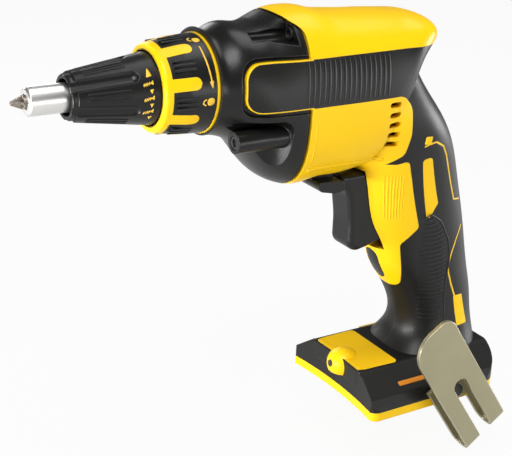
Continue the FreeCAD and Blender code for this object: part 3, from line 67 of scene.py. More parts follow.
# Motor: steel shaft and bearings, laminated rotor and stator, copper coils, a moulded
# fan and the sensor board. It is pressed together and lies in the ribs of the housing.
def start_finish(name, rough=0.5, metal=0.0, specular=0.5):
    finish = bpy.data.materials.new(name)
    finish.use_nodes = True
    shader = finish.node_tree.nodes["Principled BSDF"]
    shader.inputs["Roughness"].default_value = rough
    shader.inputs["Metallic"].default_value = metal
    shader.inputs["Specular IOR Level"].default_value = specular
    return finish, finish.node_tree, shader


def node(tree, kind, **settings):
    made = tree.nodes.new(kind)
    for key, value in settings.items():
        setattr(made, key, value)
    return made


def start_group(name, inputs, outputs):
    group = bpy.data.node_groups.new(name, "ShaderNodeTree")
    for label, value in inputs:
        socket = group.interface.new_socket(label, in_out='INPUT', socket_type='NodeSocketFloat')
        socket.default_value = value
    for label, kind in outputs:
        group.interface.new_socket(label, in_out='OUTPUT', socket_type=kind)
    return group, group.nodes.new("NodeGroupInput"), group.nodes.new("NodeGroupOutput")


def math_node(tree, operation, first, second):
    made = node(tree, "ShaderNodeMath", operation=operation)
    for place, value in enumerate((first, second)):
        if isinstance(value, (int, float)):
            made.inputs[place].default_value = value
        else:
            tree.links.new(value, made.inputs[place])
    return made.outputs[0]


def spread(tree, value, low, high):
    """A value from 0 to 1, spread between low and high."""
    made = node(tree, "ShaderNodeMapRange")
    tree.links.new(value, made.inputs["Value"])
    made.inputs["To Min"].default_value = low
    made.inputs["To Max"].default_value = high
    return made.outputs["Result"]


def mixed_colour(tree, factor, first, second):
    made = node(tree, "ShaderNodeMix", data_type='RGBA')
    tree.links.new(factor, made.inputs["Factor"])
    for label, value in (("A", first), ("B", second)):
        socket = [s for s in made.inputs if s.name == label and s.type == 'RGBA'][0]
        if isinstance(value, tuple):
            socket.default_value = (*value, 1.0)
        else:
            tree.links.new(value, socket)
    return [s for s in made.outputs if s.type == 'RGBA'][0]


def grain_group():
    """Fine grain as a height, and broad patches as a tone."""
    group, given, result = start_group(
        "surface_grain", [("Scale", 2000.0), ("Patch", 40.0)],
        [("Height", 'NodeSocketFloat'), ("Tone", 'NodeSocketFloat')])
    place = node(group, "ShaderNodeTexCoord").outputs["Object"]
    fine = node(group, "ShaderNodeTexNoise")
    fine.inputs["Detail"].default_value = 3.0
    group.links.new(place, fine.inputs["Vector"])
    group.links.new(given.outputs["Scale"], fine.inputs["Scale"])
    cells = node(group, "ShaderNodeTexVoronoi", feature='SMOOTH_F1')
    group.links.new(place, cells.inputs["Vector"])
    group.links.new(given.outputs["Scale"], cells.inputs["Scale"])
    height = math_node(group, 'ADD', fine.outputs["Fac"], cells.outputs["Distance"])
    group.links.new(height, result.inputs["Height"])
    broad = node(group, "ShaderNodeTexNoise")
    broad.inputs["Detail"].default_value = 4.0
    group.links.new(place, broad.inputs["Vector"])
    group.links.new(given.outputs["Patch"], broad.inputs["Scale"])
    group.links.new(broad.outputs["Fac"], result.inputs["Tone"])
    return group


def edge_group():
    """Rounded edges as a normal, and a mask that is 1 on them."""
    group, given, result = start_group(
        "rounded_edges", [("Radius", 0.0004), ("Gain", 5.0)],
        [("Normal", 'NodeSocketVector'), ("Edge", 'NodeSocketFloat')])
    rounded = node(group, "ShaderNodeBevel", samples=6)
    group.links.new(given.outputs["Radius"], rounded.inputs["Radius"])
    surface = node(group, "ShaderNodeNewGeometry")
    facing = node(group, "ShaderNodeVectorMath", operation='DOT_PRODUCT')
    group.links.new(rounded.outputs["Normal"], facing.inputs[0])
    group.links.new(surface.outputs["Normal"], facing.inputs[1])
    turned = math_node(group, 'SUBTRACT', 1.0, facing.outputs["Value"])
    strong = math_node(group, 'MULTIPLY', turned, given.outputs["Gain"])
    edge = node(group, "ShaderNodeClamp")
    group.links.new(strong, edge.inputs["Value"])
    group.links.new(rounded.outputs["Normal"], result.inputs["Normal"])
    group.links.new(edge.outputs["Result"], result.inputs["Edge"])
    return group


SURFACE_GRAIN = grain_group()
ROUNDED_EDGES = edge_group()
TONE_PATCHES = 45.0


def place_group(tree, group, **values):
    made = node(tree, "ShaderNodeGroup", node_tree=group)
    for label, value in values.items():
        made.inputs[label].default_value = value
    return made


def finish_surface(name, colour, second, edge_tint_wear_and_glint, rough, metal=0.0, specular=0.5,
                   scale=2200.0, depth=0.00003, radius=0.0004, edge_share_wear_and_glint=0.5):
    """A finish with fine grain, broad changes of tone and lighter rounded edges, which are wear and,
    where the edge share is high, a painted highlight.
    """
    finish, tree, shader = start_finish(name, metal=metal, specular=specular)
    grain = place_group(tree, SURFACE_GRAIN, Scale=scale, Patch=TONE_PATCHES)
    edges = place_group(tree, ROUNDED_EDGES, Radius=radius)
    base = mixed_colour(tree, grain.outputs["Tone"], colour, second)
    # Lighter colour on the edges: wear on most finishes, a painted edge highlight on the belt hook.
    edge_mask_wear_and_glint = math_node(tree, 'MULTIPLY', edges.outputs["Edge"], edge_share_wear_and_glint)
    tree.links.new(mixed_colour(tree, edge_mask_wear_and_glint, base, edge_tint_wear_and_glint), shader.inputs["Base Color"])
    tree.links.new(spread(tree, grain.outputs["Tone"], *rough), shader.inputs["Roughness"])
    bump = node(tree, "ShaderNodeBump")
    bump.inputs["Distance"].default_value = depth
    tree.links.new(grain.outputs["Height"], bump.inputs["Height"])
    tree.links.new(edges.outputs["Normal"], bump.inputs["Normal"])
    tree.links.new(bump.outputs["Normal"], shader.inputs["Normal"])
    return finish


def dress(finish, *names):
    for name in names:
        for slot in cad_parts[name].material_slots:
            slot.material = finish


ground_steel = finish_surface(
    "ground_steel", colour=(0.46, 0.46, 0.45), second=(0.56, 0.56, 0.55), edge_tint_wear_and_glint=(0.72, 0.72, 0.7),
    rough=(0.22, 0.36), metal=1.0, scale=900.0)
dress(ground_steel, "motor_shaft", "front_bearing", "rear_bearing")
lamination_steel = finish_surface(
    "lamination_steel", colour=(0.17, 0.17, 0.18), second=(0.24, 0.24, 0.25), edge_tint_wear_and_glint=(0.5, 0.5, 0.5),
    rough=(0.35, 0.55), metal=1.0, scale=1500.0)
dress(lamination_steel, "rotor", "stator")
coil_copper = finish_surface(
    "coil_copper", colour=(0.46, 0.17, 0.06), second=(0.58, 0.24, 0.09), edge_tint_wear_and_glint=(0.8, 0.42, 0.2),
    rough=(0.28, 0.42), metal=1.0, scale=1800.0)
dress(coil_copper, "stator_coils")
board_lacquer = finish_surface(
    "sensor_board", colour=(0.012, 0.09, 0.04), second=(0.018, 0.13, 0.06), edge_tint_wear_and_glint=(0.2, 0.25, 0.15),
    rough=(0.35, 0.5))
dress(board_lacquer, "sensor_board")
grey_moulding = finish_surface(
    "grey_moulding", colour=(0.075, 0.075, 0.08), second=(0.1, 0.1, 0.105), edge_tint_wear_and_glint=(0.2, 0.2, 0.2),
    rough=(0.42, 0.58))
dress(grey_moulding, "cooling_fan")


# Gear train: hardened drive gear and spindle that meet with dogs, a ground bearing
# behind them, and a bronze bush and a rubber seal pressed into the case in front.
hardened_steel = finish_surface(
    "hardened_steel", colour=(0.33, 0.33, 0.33), second=(0.42, 0.42, 0.42), edge_tint_wear_and_glint=(0.66, 0.66, 0.64),
    rough=(0.26, 0.4), metal=1.0, scale=1100.0)
dress(hardened_steel, "drive_gear", "spindle")
dress(ground_steel, "gear_bearing")
bush_bronze = finish_surface(
    "bush_bronze", colour=(0.4, 0.24, 0.09), second=(0.5, 0.31, 0.13), edge_tint_wear_and_glint=(0.7, 0.5, 0.25),
    rough=(0.3, 0.45), metal=1.0)
dress(bush_bronze, "spindle_bush")
seal_rubber = finish_surface(
    "seal_rubber", colour=(0.012, 0.012, 0.012), second=(0.02, 0.02, 0.02), edge_tint_wear_and_glint=(0.05, 0.05, 0.05),
    rough=(0.5, 0.65))
dress(seal_rubber, "spindle_seal")


# Springs: coils of hard steel wire with their rear ends seated, one behind the trigger and one between
# the dogs.
# Here each is a merged copy of its part, fixed to its body.
MM = 0.001
SAME_CORNER = 0.001  # mm
TRIGGER_TRAVEL = 7.0
SPINDLE_TRAVEL = 4.0


def add_piece(name, shape, finish, body):
    bmesh.ops.recalc_face_normals(shape, faces=shape.faces)
    for face in shape.faces:
        face.smooth = True
    mesh = bpy.data.meshes.new(name)
    shape.to_mesh(mesh)
    shape.free()
    mesh.materials.append(finish)
    piece = bpy.data.objects.new(name, mesh)
    bpy.context.collection.objects.link(piece)
    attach(piece, body)
    return piece


for name, body, joint, travel in (("trigger_spring", "tool", "trigger_pull", TRIGGER_TRAVEL),
                                  ("clutch_spring", "drive", "spindle_push", SPINDLE_TRAVEL)):
    rear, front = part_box(name)
    shape = bmesh.new()
    shape.from_mesh(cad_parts[name].data)
    bmesh.ops.remove_doubles(shape, verts=shape.verts, dist=SAME_CORNER * MM)
    coil = add_piece(name + "_coil", shape, hardened_steel, body)
    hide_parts(name)
    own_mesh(coil)


# Gear case: cast alloy with a black satin coat, closed behind by the bearing plate. It
# holds the spindle and the collar in front and is screwed on at four corners.
case_coat = finish_surface(
    "case_coat", colour=(0.0065, 0.0065, 0.0062), second=(0.0095, 0.0095, 0.009),
    edge_tint_wear_and_glint=(0.06, 0.06, 0.057), rough=(0.25, 0.34), specular=0.32, scale=1300.0, radius=0.0007, edge_share_wear_and_glint=0.3)
dress(case_coat, "gear_case", "gear_plate")
black_screw = finish_surface(
    "black_screw", colour=(0.045, 0.045, 0.047), second=(0.07, 0.07, 0.07), edge_tint_wear_and_glint=(0.3, 0.3, 0.29),
    rough=(0.3, 0.42), metal=0.8, radius=0.0003)
dress(black_screw, "gear_case_screws")


# Trigger, reverse lever and lock button: black glass-filled nylon, each in its own guide.
# They work the switch, a closed grey moulding that is held between the housing halves.
black_nylon = finish_surface(
    "black_nylon", colour=(0.0062, 0.0062, 0.006), second=(0.009, 0.009, 0.0087),
    edge_tint_wear_and_glint=(0.05, 0.05, 0.048), rough=(0.27, 0.38), specular=0.36, radius=0.0005, edge_share_wear_and_glint=0.35)
dress(black_nylon, "trigger", "reverse_lever", "lock_button")
dress(grey_moulding, "switch_module")


# Battery contacts: bronze blades in a black nylon block. The block and the grey control
# module lie in the foot, between the housing halves.
dress(black_nylon, "terminal_block")
dress(bush_bronze, "terminal_blades")
dress(grey_moulding, "control_module")


# Housing: two yellow glass-filled halves that meet on the middle plane, held by black
# screws from the right. Their outer faces carry a fine spark grain from the mould.
yellow_moulding = finish_surface(
    "yellow_moulding", colour=(0.93, 0.56, 0.004), second=(0.97, 0.6, 0.005), edge_tint_wear_and_glint=(1.0, 0.72, 0.09),
    rough=(0.27, 0.36), specular=0.22, scale=2600.0, depth=0.000012, radius=0.0006, edge_share_wear_and_glint=0.45)
dress(yellow_moulding, "housing_left", "housing_right")
dress(black_screw, "housing_screws")


# Housing relief: fine ribs beside the trigger, the edge of the side plate and a crease
# under it. They are moulded with the halves. Points are X and Z in mm.
SIDES = (("left", 1), ("right", -1))
RAY_START = 0.1
PANEL_RIBS = 7
PANEL_RIB_PITCH = 1.55
PANEL_RIB_TOP = (31.0, 127.0)
PANEL_RIB_END = (27.4, 101.0)
PANEL_RIB_CLOSING = 0.9  # the lower ends stand this much closer
PANEL_RIB_WIDTH = 0.85
PANEL_RIB_HEIGHT = 0.22
PLATE_EDGE = [(92.0, 164.0), (91.4, 143.0)]
PLATE_EDGE_WIDTH = 0.7
PLATE_EDGE_HEIGHT = 0.25
CREASE = [(92.0, 138.6), (66.0, 138.2), (44.0, 136.6)]
CREASE_WIDTH = 2.4
CREASE_HEIGHT = 0.5


def along(path, share):
    """Point and heading at a share of a polyline's length."""
    points = [Vector(point) for point in path]
    lengths = [(b - a).length for a, b in zip(points, points[1:])]
    left = share * sum(lengths)
    for a, b, length in zip(points, points[1:], lengths):
        if left <= length or b is points[-1]:
            heading = (b - a).normalized()
            return a + heading * left, heading
        left -= length


def bead(shape, path, place, width, height, power=8.0, tip=1.0, rings=24, around=10):
    """A long rounded bead that follows a path on a surface. Sizes in mm.

    A high power makes its ends blunt, and tip is the last width as a share of the first."""
    made = bmesh.ops.create_uvsphere(shape, u_segments=around, v_segments=rings, radius=1.0)
    for vert in made["verts"]:
        x, y, z = vert.co
        ring = math.hypot(x, y)
        full = max(0.0, 1.0 - abs(z) ** power) ** (1.0 / power)
        grow = full / ring if ring > 1e-6 else 0.0
        share = (z + 1.0) / 2.0
        point, heading = along(path, share)
        wide = width / 2.0 * (1.0 + (tip - 1.0) * share)
        point = point + Vector((-heading.y, heading.x)) * (x * grow * wide)
        vert.co = place(point.x, point.y, y * grow * height) * MM


def side_place(node_name, side):
    """Places a point (X, Z) on one side of a node, with a height above its surface."""
    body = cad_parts[node_name]
    mesh = body.data
    corners = [body.matrix_world @ vert.co for vert in mesh.vertices]
    tree = BVHTree.FromPolygons(corners, [tuple(face.vertices) for face in mesh.polygons])

    def place(u, v, rise):
        start = Vector((u * MM, side * RAY_START, v * MM))
        hit = tree.ray_cast(start, Vector((0.0, -side, 0.0)))[0] or tree.find_nearest(start)[0]
        return Vector((u, hit.y / MM + side * rise, v))

    return place


for label, side in SIDES:
    shape = bmesh.new()
    place = side_place("housing_" + label, side)
    for i in range(PANEL_RIBS):
        step = i * PANEL_RIB_PITCH
        top = (PANEL_RIB_TOP[0] + step, PANEL_RIB_TOP[1])
        end = (PANEL_RIB_END[0] + PANEL_RIB_CLOSING * step, PANEL_RIB_END[1])
        bead(shape, [top, end], place, PANEL_RIB_WIDTH, PANEL_RIB_HEIGHT, power=4.0)
    bead(shape, PLATE_EDGE, place, PLATE_EDGE_WIDTH, PLATE_EDGE_HEIGHT)
    bead(shape, CREASE, place, CREASE_WIDTH, CREASE_HEIGHT, rings=40)
    add_piece("housing_relief_" + label, shape, yellow_moulding, "tool")


# Grip: black thermoplastic rubber with a dull fine texture. It is moulded over the
# housing halves and makes the side panels, the handle and the skin of the foot.
grip_rubber = finish_surface(
    "grip_rubber", colour=(0.0065, 0.0065, 0.006), second=(0.0095, 0.0095, 0.0088),
    edge_tint_wear_and_glint=(0.04, 0.04, 0.038), rough=(0.34, 0.46), specular=0.32, scale=1900.0, depth=0.00004,
    radius=0.0006, edge_share_wear_and_glint=0.3)
dress(grip_rubber, "grip_left", "grip_right")


# Grip relief: upright ribs on the side panel and short level ribs on the handle, with a
# bead round them. They are part of the same moulding. Points are X and Z in mm.
SIDE_RIBS = 17
SIDE_RIB_PITCH = 2.9
SIDE_RIB_FIRST = 97.0
SIDE_RIB_TOP = 193.0
SIDE_RIB_FALL = 0.02  # each top lies this much lower than the one before it
SIDE_RIB_END = 172.5
SIDE_RIB_LEAN = 0.7
SIDE_RIB_WIDTH = 1.5
SIDE_RIB_HEIGHT = 0.34
HANDLE_LOW = 37.5
HANDLE_HIGH = 98.0
HANDLE_PITCH = 2.6
HANDLE_REAR = [(36.0, -5.4), (72.0, -5.8), (90.0, -1.5), (100.0, 8.6)]  # Z first, then X
HANDLE_FRONT = [(36.0, 6.6), (81.0, 13.2), (95.5, 11.7), (100.0, 9.6)]
HANDLE_FRONT_LIFT = 0.7
HANDLE_REAR_LIFT = 0.9
HANDLE_RIB_WIDTH = 1.3
HANDLE_RIB_HEIGHT = 0.42
CONTOUR = [(15.6, 97.4), (9.4, 101.6), (1.0, 96.0), (-6.4, 84.0), (-9.0, 74.0), (-7.6, 60.0),
           (-8.0, 36.0)]
CONTOUR_WIDTH = 1.0
CONTOUR_HEIGHT = 0.3


def edge_at(table, level):
    for (low, a), (high, b) in zip(table, table[1:]):
        if low <= level <= high:
            return a + (b - a) * (level - low) / (high - low)


for label, side in SIDES:
    shape = bmesh.new()
    place = side_place("grip_" + label, side)
    for i in range(SIDE_RIBS):
        x = SIDE_RIB_FIRST - i * SIDE_RIB_PITCH
        top = (x, SIDE_RIB_TOP - SIDE_RIB_FALL * i)
        end = (x + SIDE_RIB_LEAN, SIDE_RIB_END)
        bead(shape, [top, end], place, SIDE_RIB_WIDTH, SIDE_RIB_HEIGHT, power=3.0)
    level = HANDLE_LOW
    while level < HANDLE_HIGH:
        rear = edge_at(HANDLE_REAR, level)
        front = edge_at(HANDLE_FRONT, level)
        middle = (rear + front) / 2
        rib = [(front, level + HANDLE_FRONT_LIFT), (middle, level), (rear, level + HANDLE_REAR_LIFT)]
        bead(shape, rib, place, HANDLE_RIB_WIDTH, HANDLE_RIB_HEIGHT, power=3.0)
        level += HANDLE_PITCH
    bead(shape, CONTOUR, place, CONTOUR_WIDTH, CONTOUR_HEIGHT, rings=56)
    add_piece("grip_relief_" + label, shape, grip_rubber, "tool")


# Foot front: the rubber that runs up the hollow front of the foot to the edge of the
# yellow panel. It is moulded with the grip, and the dome of the light stands through it.
FRONT_HALF = 22.4
FRONT_LOW = 9.2
FRONT_HIGH = 19.4
FRONT_X = 49.5
FRONT_BEND = 1.05  # the ends stand this much further forward
FRONT_WALL = 0.5
FRONT_END_POWER = 8  # how late the ends sink into the foot
shape = bmesh.new()
bmesh.ops.create_grid(shape, x_segments=28, y_segments=6, size=1.0)
for vert in shape.verts:
    u, v, _ = vert.co
    sunk = FRONT_WALL * u ** FRONT_END_POWER
    vert.co = Vector((FRONT_X + FRONT_BEND * u * u - sunk, FRONT_HALF * u,
                      (FRONT_HIGH + FRONT_LOW) / 2 + v * (FRONT_HIGH - FRONT_LOW) / 2)) * MM
bmesh.ops.recalc_face_normals(shape, faces=shape.faces)
bmesh.ops.solidify(shape, geom=shape.faces[:], thickness=FRONT_WALL * MM)
add_piece("foot_front_rubber", shape, grip_rubber, "tool")


# Tab and slot: a yellow tab at the end of the upper stripe, moulded with the housing, and
# the narrow slot in the flank of the foot, coloured amber as painted shade on yellow. Points are X and
# Z in mm.
TAB = [(21.8, 143.4), (21.4, 147.6)]
TAB_WIDTH = 4.6
TAB_HEIGHT = 0.35
SLOT = [(31.0, 12.4), (14.0, 12.4)]
SLOT_WIDTH = 1.7
SLOT_HEIGHT = 0.3
# Painted shade: the slot is yellow, darkened to amber in its colour.
slot_shade_paint = finish_surface(
    "slot_shade_paint", colour=(0.62, 0.19, 0.008), second=(0.72, 0.25, 0.012), edge_tint_wear_and_glint=(0.9, 0.45, 0.08),
    rough=(0.3, 0.4), specular=0.4, depth=0.000012)
for label, side in SIDES:
    place = side_place("grip_" + label, side)
    shape = bmesh.new()
    bead(shape, TAB, place, TAB_WIDTH, TAB_HEIGHT, power=10.0)
    add_piece("stripe_tab_" + label, shape, yellow_moulding, "tool")
    shape = bmesh.new()
    bead(shape, SLOT, place, SLOT_WIDTH, SLOT_HEIGHT, power=12.0)
    add_piece("foot_slot_" + label, shape, slot_shade_paint, "tool")


# Nose: black nylon collar with the yellow ring moulded into it, a thin index ring behind
# it, and the cone that sets the depth, screwed along the case's tube on a grey carrier.
dress(black_nylon, "lock_collar", "nose_cone")
dress(yellow_moulding, "collar_trim", "index_ring")
dress(grey_moulding, "depth_ring")


# Nose relief: three ribs on each of the collar's eight pads and between the cone's
# six flutes. They are moulded with the two pieces. Lengths are in mm.
SPINDLE_Z = 181.0
COLLAR_BACK = 141.5
COLLAR_BACK_R = 22.9
COLLAR_SLOPE = 0.05
COLLAR_PADS = 8
PAD_PHASE = 7.5
PAD_RIB_ENDS = (149.8, 160.4)
PAD_RIB_PITCH = 2.3
PAD_RIB_WIDTH = 1.3
PAD_RIB_HEIGHT = 0.42
CONE_BACK = 165.7
CONE_BACK_R = 16.6
CONE_SLOPE = 0.145
CONE_PATCHES = 6
PATCH_PHASE = 22.0
PATCH_RIB_ENDS = (179.0, 198.0)
PATCH_RIB_TURN = 0.13  # radians from rib to rib
PATCH_RIB_WIDTH = 1.0
PATCH_RIB_HEIGHT = 0.36
THREE_RIBS = (-1, 0, 1)


def round_place(radius_at):
    """Places a point (X, distance round the axis) on a turned surface, with a height above it."""
    def place(u, v, rise):
        radius = radius_at(u)
        turn = v / radius
        return Vector((u, (radius + rise) * math.sin(turn),
                       SPINDLE_Z + (radius + rise) * math.cos(turn)))

    return place


def collar_radius(x):
    return COLLAR_BACK_R - COLLAR_SLOPE * (x - COLLAR_BACK)


def cone_radius(x):
    return CONE_BACK_R - CONE_SLOPE * (x - CONE_BACK)


on_collar = round_place(collar_radius)
on_cone = round_place(cone_radius)
shape = bmesh.new()
for pad in range(COLLAR_PADS):
    middle = math.radians(PAD_PHASE + 360.0 * pad / COLLAR_PADS)
    for rib in THREE_RIBS:
        ends = []
        for x in PAD_RIB_ENDS:
            ends.append((x, collar_radius(x) * middle + PAD_RIB_PITCH * rib))
        bead(shape, ends, on_collar, PAD_RIB_WIDTH, PAD_RIB_HEIGHT)
add_piece("collar_ribs", shape, black_nylon, "collar")
shape = bmesh.new()
for patch in range(CONE_PATCHES):
    middle = math.radians(PATCH_PHASE + 360.0 * patch / CONE_PATCHES)
    for rib in THREE_RIBS:
        ends = []
        for x in PATCH_RIB_ENDS:
            ends.append((x, cone_radius(x) * (middle + PATCH_RIB_TURN * rib)))
        bead(shape, ends, on_cone, PATCH_RIB_WIDTH, PATCH_RIB_HEIGHT)
add_piece("cone_ribs", shape, black_nylon, "cone")


# Collar marks: plain pictograms printed in yellow. They show an open and a closed padlock
# with an arrow between them. Points are X and the distance round the collar, in mm.
PRINT_HEIGHT = 0.16
ARROW = [(144.9, 11.8), (144.8, 17.0), (144.4, 23.0), (143.8, 30.2)]
ARROW_WIDTH = 0.8
ARROW_HEAD = [(143.9, 29.4), (143.6, 32.6)]
ARROW_HEAD_WIDTH = 2.4
POINTED = 0.1
PADLOCKS = ((7.2, -0.9), (38.6, 0.0))  # middle, and how far the hoop is swung open
PADLOCK_BACK = 142.6
PADLOCK_FRONT = 146.2
PADLOCK_WIDTH = 3.6
HOOP_POINTS = 9
HOOP_FIRST = -80.0
HOOP_STEP = 20.0
HOOP_REACH = 1.9
HOOP_HALF = 1.4
HOOP_WIDTH = 0.7
printed_yellow = finish_surface(
    "printed_yellow", colour=(0.85, 0.5, 0.03), second=(0.92, 0.58, 0.06), edge_tint_wear_and_glint=(0.95, 0.65, 0.15),
    rough=(0.35, 0.45), specular=0.35, depth=0.00001)
shape = bmesh.new()
bead(shape, ARROW, on_collar, ARROW_WIDTH, PRINT_HEIGHT, rings=40)
bead(shape, ARROW_HEAD, on_collar, ARROW_HEAD_WIDTH, PRINT_HEIGHT, tip=POINTED)
for middle, swing in PADLOCKS:
    case = [(PADLOCK_BACK, middle), (PADLOCK_FRONT, middle)]
    bead(shape, case, on_collar, PADLOCK_WIDTH, PRINT_HEIGHT, power=2.4, rings=16, around=16)
    hoop = []
    for i in range(HOOP_POINTS):
        turn = math.radians(HOOP_FIRST + HOOP_STEP * i)
        hoop.append((PADLOCK_FRONT + HOOP_REACH * math.cos(turn),
                     middle + swing + HOOP_HALF * math.sin(turn)))
    bead(shape, hoop, on_collar, HOOP_WIDTH, PRINT_HEIGHT, rings=32)
add_piece("collar_marks", shape, printed_yellow, "collar")


# Cone marks: a pointer, three small screws and a wedge beside each, printed in the same
# yellow. Points are X and the distance round the cone, in mm.
SCALE_HEIGHT = 0.14
POINTER = [(170.4, 15.6), (170.4, 11.6)]
POINTER_WIDTH = 3.0
SCREWS = (18.6, 25.2, 31.6)
SCREW_HEAD = 169.0
SCREW_NECK = 170.0
SCREW_TIP = 173.6
SCREW_WIDTH = 0.6
NECK_WIDTH = 1.0
HEAD_GROWTH = 2.2
THREADS = 4
THREAD_FIRST = 170.7
THREAD_PITCH = 0.8
THREAD_HALF = 0.8
THREAD_LEAN = 0.3
THREAD_WIDTH = 0.4
WEDGES = (22.2, 28.6, 35.4)
WEDGE_HALF = 0.9
WEDGE_WIDTH = 2.0
shape = bmesh.new()
bead(shape, POINTER, on_cone, POINTER_WIDTH, SCALE_HEIGHT, tip=POINTED)
for middle in SCREWS:
    bead(shape, [(SCREW_NECK, middle), (SCREW_TIP, middle)], on_cone, SCREW_WIDTH, SCALE_HEIGHT)
    bead(shape, [(SCREW_NECK, middle), (SCREW_HEAD, middle)], on_cone, NECK_WIDTH, SCALE_HEIGHT,
         tip=HEAD_GROWTH)
    for thread in range(THREADS):
        x = THREAD_FIRST + THREAD_PITCH * thread
        ends = [(x, middle - THREAD_HALF), (x + THREAD_LEAN, middle + THREAD_HALF)]
        bead(shape, ends, on_cone, THREAD_WIDTH, PRINT_HEIGHT, rings=10)
for middle in WEDGES:
    ends = [(SCREW_NECK, middle - WEDGE_HALF), (SCREW_NECK, middle + WEDGE_HALF)]
    bead(shape, ends, on_cone, WEDGE_WIDTH, SCALE_HEIGHT, tip=POINTED)
add_piece("cone_marks", shape, printed_yellow, "cone")


# Bit holder and bit: the holder is a plated round sleeve whose hex shank snaps into the
# spindle. The bit is blasted tool steel, held in the sleeve by a plated magnet.
plated_steel = finish_surface(
    "plated_steel", colour=(0.78, 0.77, 0.75), second=(0.86, 0.85, 0.83), edge_tint_wear_and_glint=(0.95, 0.95, 0.94),
    rough=(0.32, 0.42), metal=1.0, scale=600.0, depth=0.000004)
dress(plated_steel, "bit_holder")
blasted_steel = finish_surface(
    "blasted_steel", colour=(0.24, 0.21, 0.175), second=(0.32, 0.285, 0.24), edge_tint_wear_and_glint=(0.6, 0.57, 0.5),
    rough=(0.38, 0.5), metal=0.9, scale=3200.0, depth=0.00002, radius=0.0003)
dress(blasted_steel, "driver_bit")
magnet_plating = finish_surface(
    "magnet_plating", colour=(0.5, 0.5, 0.48), second=(0.6, 0.6, 0.58), edge_tint_wear_and_glint=(0.8, 0.8, 0.78),
    rough=(0.25, 0.35), metal=1.0)
dress(magnet_plating, "holder_magnet")


# Belt hook: spring steel, cut and folded from sheet and given a matt nickel plating. One
# black screw holds it to the left flank of the foot.
# Its edges are mixed far towards a light colour: wear, and a painted highlight along them.
nickel_plating = finish_surface(
    "nickel_plating", colour=(0.36, 0.33, 0.2), second=(0.44, 0.41, 0.27), edge_tint_wear_and_glint=(0.8, 0.78, 0.66),
    rough=(0.28, 0.4), metal=0.75, scale=1200.0, depth=0.00001, radius=0.0006, edge_share_wear_and_glint=0.7)
dress(nickel_plating, "belt_hook")
dress(black_screw, "hook_screw")


# Work light: a clear acrylic lens, pressed into the dome on the foot. The small board
# with the lamp lies behind it.
LENS_DARK = (0.2, 0.15, 0.09)
LENS_PALE = (0.3, 0.24, 0.16)
lens_finish, tree, shader = start_finish("clear_lens", rough=0.08)
shader.inputs["Transmission Weight"].default_value = 0.85
shader.inputs["IOR"].default_value = 1.49
mottle = place_group(tree, SURFACE_GRAIN, Scale=500.0, Patch=200.0)
tree.links.new(mixed_colour(tree, mottle.outputs["Tone"], LENS_DARK, LENS_PALE),
               shader.inputs["Base Color"])
dress(lens_finish, "light_lens")
dress(board_lacquer, "light_board")


# Studio floor: a wide pale board just under the lowest point of the tool. The camera and
# clear pieces see it almost white, mirrors half so, and it keeps the tool's shadow.
FLOOR_DROP = 0.0006
FLOOR_REACH = 6.0
FLOOR_GREY = 0.55
FLOOR_WHITE = 0.94
MIRRORED_WHITE = 0.5
SURROUND_LIGHT = 0.12
SURROUND_SEEN = 1.0
floor_mesh = bpy.data.meshes.new("studio_floor")
shape = bmesh.new()
bmesh.ops.create_grid(shape, x_segments=1, y_segments=1, size=FLOOR_REACH)
bmesh.ops.translate(shape, verts=shape.verts, vec=(0.0, 0.0, cad_box[0][2] - FLOOR_DROP))
shape.to_mesh(floor_mesh)
shape.free()
studio_floor = bpy.data.objects.new("studio_floor", floor_mesh)
bpy.context.collection.objects.link(studio_floor)
floor_paint, tree, shader = start_finish("floor_paint", rough=0.9, specular=0.1)
shader.inputs["Base Color"].default_value = (FLOOR_GREY, FLOOR_GREY, FLOOR_GREY, 1.0)
white = node(tree, "ShaderNodeEmission")
seen = node(tree, "ShaderNodeLightPath")
direct = math_node(tree, 'MAXIMUM', seen.outputs["Is Camera Ray"], seen.outputs["Is Transmission Ray"])
mirrored = math_node(tree, 'MULTIPLY', seen.outputs["Is Glossy Ray"], MIRRORED_WHITE)
share = math_node(tree, 'MULTIPLY', math_node(tree, 'MAXIMUM', direct, mirrored), FLOOR_WHITE)
blend = node(tree, "ShaderNodeMixShader")
tree.links.new(share, blend.inputs["Fac"])
tree.links.new(shader.outputs["BSDF"], blend.inputs[1])
tree.links.new(white.outputs["Emission"], blend.inputs[2])
tree.links.new(blend.outputs["Shader"], tree.nodes["Material Output"].inputs["Surface"])
floor_mesh.materials.append(floor_paint)

studio = bpy.data.worlds.new("studio")
studio.use_nodes = True
tree = studio.node_tree
sky = tree.nodes["Background"]
sky.inputs["Color"].default_value = (1.0, 1.0, 1.0, 1.0)
seen = node(tree, "ShaderNodeLightPath")
tree.links.new(spread(tree, seen.outputs["Is Camera Ray"], SURROUND_LIGHT, SURROUND_SEEN),
               sky.inputs["Strength"])
bpy.context.scene.world = studio


# Lamps: flat soft boxes of white light on stands round the tool. Each is given its place,
# the point it is turned to, its width and height in metres and its power in watts.
def soft_lamp(name, place, target, size, power):
    lamp = bpy.data.lights.new(name, 'AREA')
    lamp.shape = 'RECTANGLE'
    lamp.size, lamp.size_y = size
    lamp.energy = power
    holder = bpy.data.objects.new(name, lamp)
    holder.location = place
    aim = Vector(target) - Vector(place)
    holder.rotation_euler = aim.to_track_quat('-Z', 'Y').to_euler()
    bpy.context.collection.objects.link(holder)


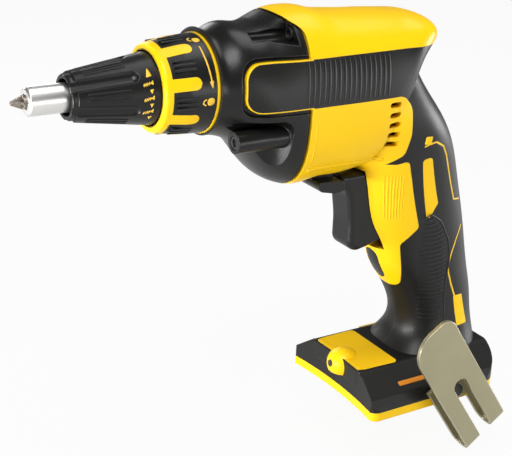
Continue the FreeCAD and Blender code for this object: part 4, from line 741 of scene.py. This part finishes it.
soft_lamp("lamp_above", (0.5, 0.5, 1.05), (0.08, 0.0, 0.12), size=(0.6, 0.6), power=10.5)
soft_lamp("lamp_top", (-0.25, -0.05, 1.0), (0.05, 0.0, 0.15), size=(0.6, 0.6), power=3.4)
soft_lamp("lamp_left", (-0.3, 0.85, 0.14), (0.05, 0.0, 0.15), size=(0.5, 0.2), power=1.7)
soft_lamp("lamp_rear", (-0.88, 0.22, 0.12), (0.0, 0.0, 0.15), size=(0.45, 0.35), power=6.0)
soft_lamp("lamp_nose", (0.8, 0.0, 0.04), (0.1, 0.0, 0.15), size=(0.7, 0.1), power=7.5)
soft_lamp("lamp_right", (0.1, -1.0, 0.45), (0.05, 0.0, 0.12), size=(0.6, 0.4), power=3.0)


# Camera: it stands at the left front of the tool and a little above it, at the angle
# and distance of the photograph, with a long lens and no blur.
CAMERA_PLACE = Vector((0.3943, 0.4662, 0.3198))
AZIMUTH = math.radians(31.8606)
PITCH = math.radians(21.5323)
ROLL = math.radians(2.2371)
FOCAL_PIXELS = 1188.48
IMAGE_WIDTH = 512
SENSOR_WIDTH = 36.0
NEAREST = 0.01
view_line = Vector((-math.sin(AZIMUTH) * math.cos(PITCH),
                    -math.cos(AZIMUTH) * math.cos(PITCH),
                    -math.sin(PITCH)))
level = Vector((-math.cos(AZIMUTH), math.sin(AZIMUTH), 0.0))
upward = level.cross(view_line)
across = math.cos(ROLL) * level + math.sin(ROLL) * upward
upward = -math.sin(ROLL) * level + math.cos(ROLL) * upward
lens = bpy.data.cameras.new("photo_camera")
lens.sensor_width = SENSOR_WIDTH
lens.lens = FOCAL_PIXELS * SENSOR_WIDTH / IMAGE_WIDTH
lens.clip_start = NEAREST
camera = bpy.data.objects.new("photo_camera", lens)
turn = Matrix((across, upward, -view_line)).transposed().to_4x4()
camera.matrix_world = Matrix.Translation(CAMERA_PLACE) @ turn
bpy.context.collection.objects.link(camera)
bpy.context.scene.camera = camera
bpy.context.scene.view_settings.view_transform = 'Standard'
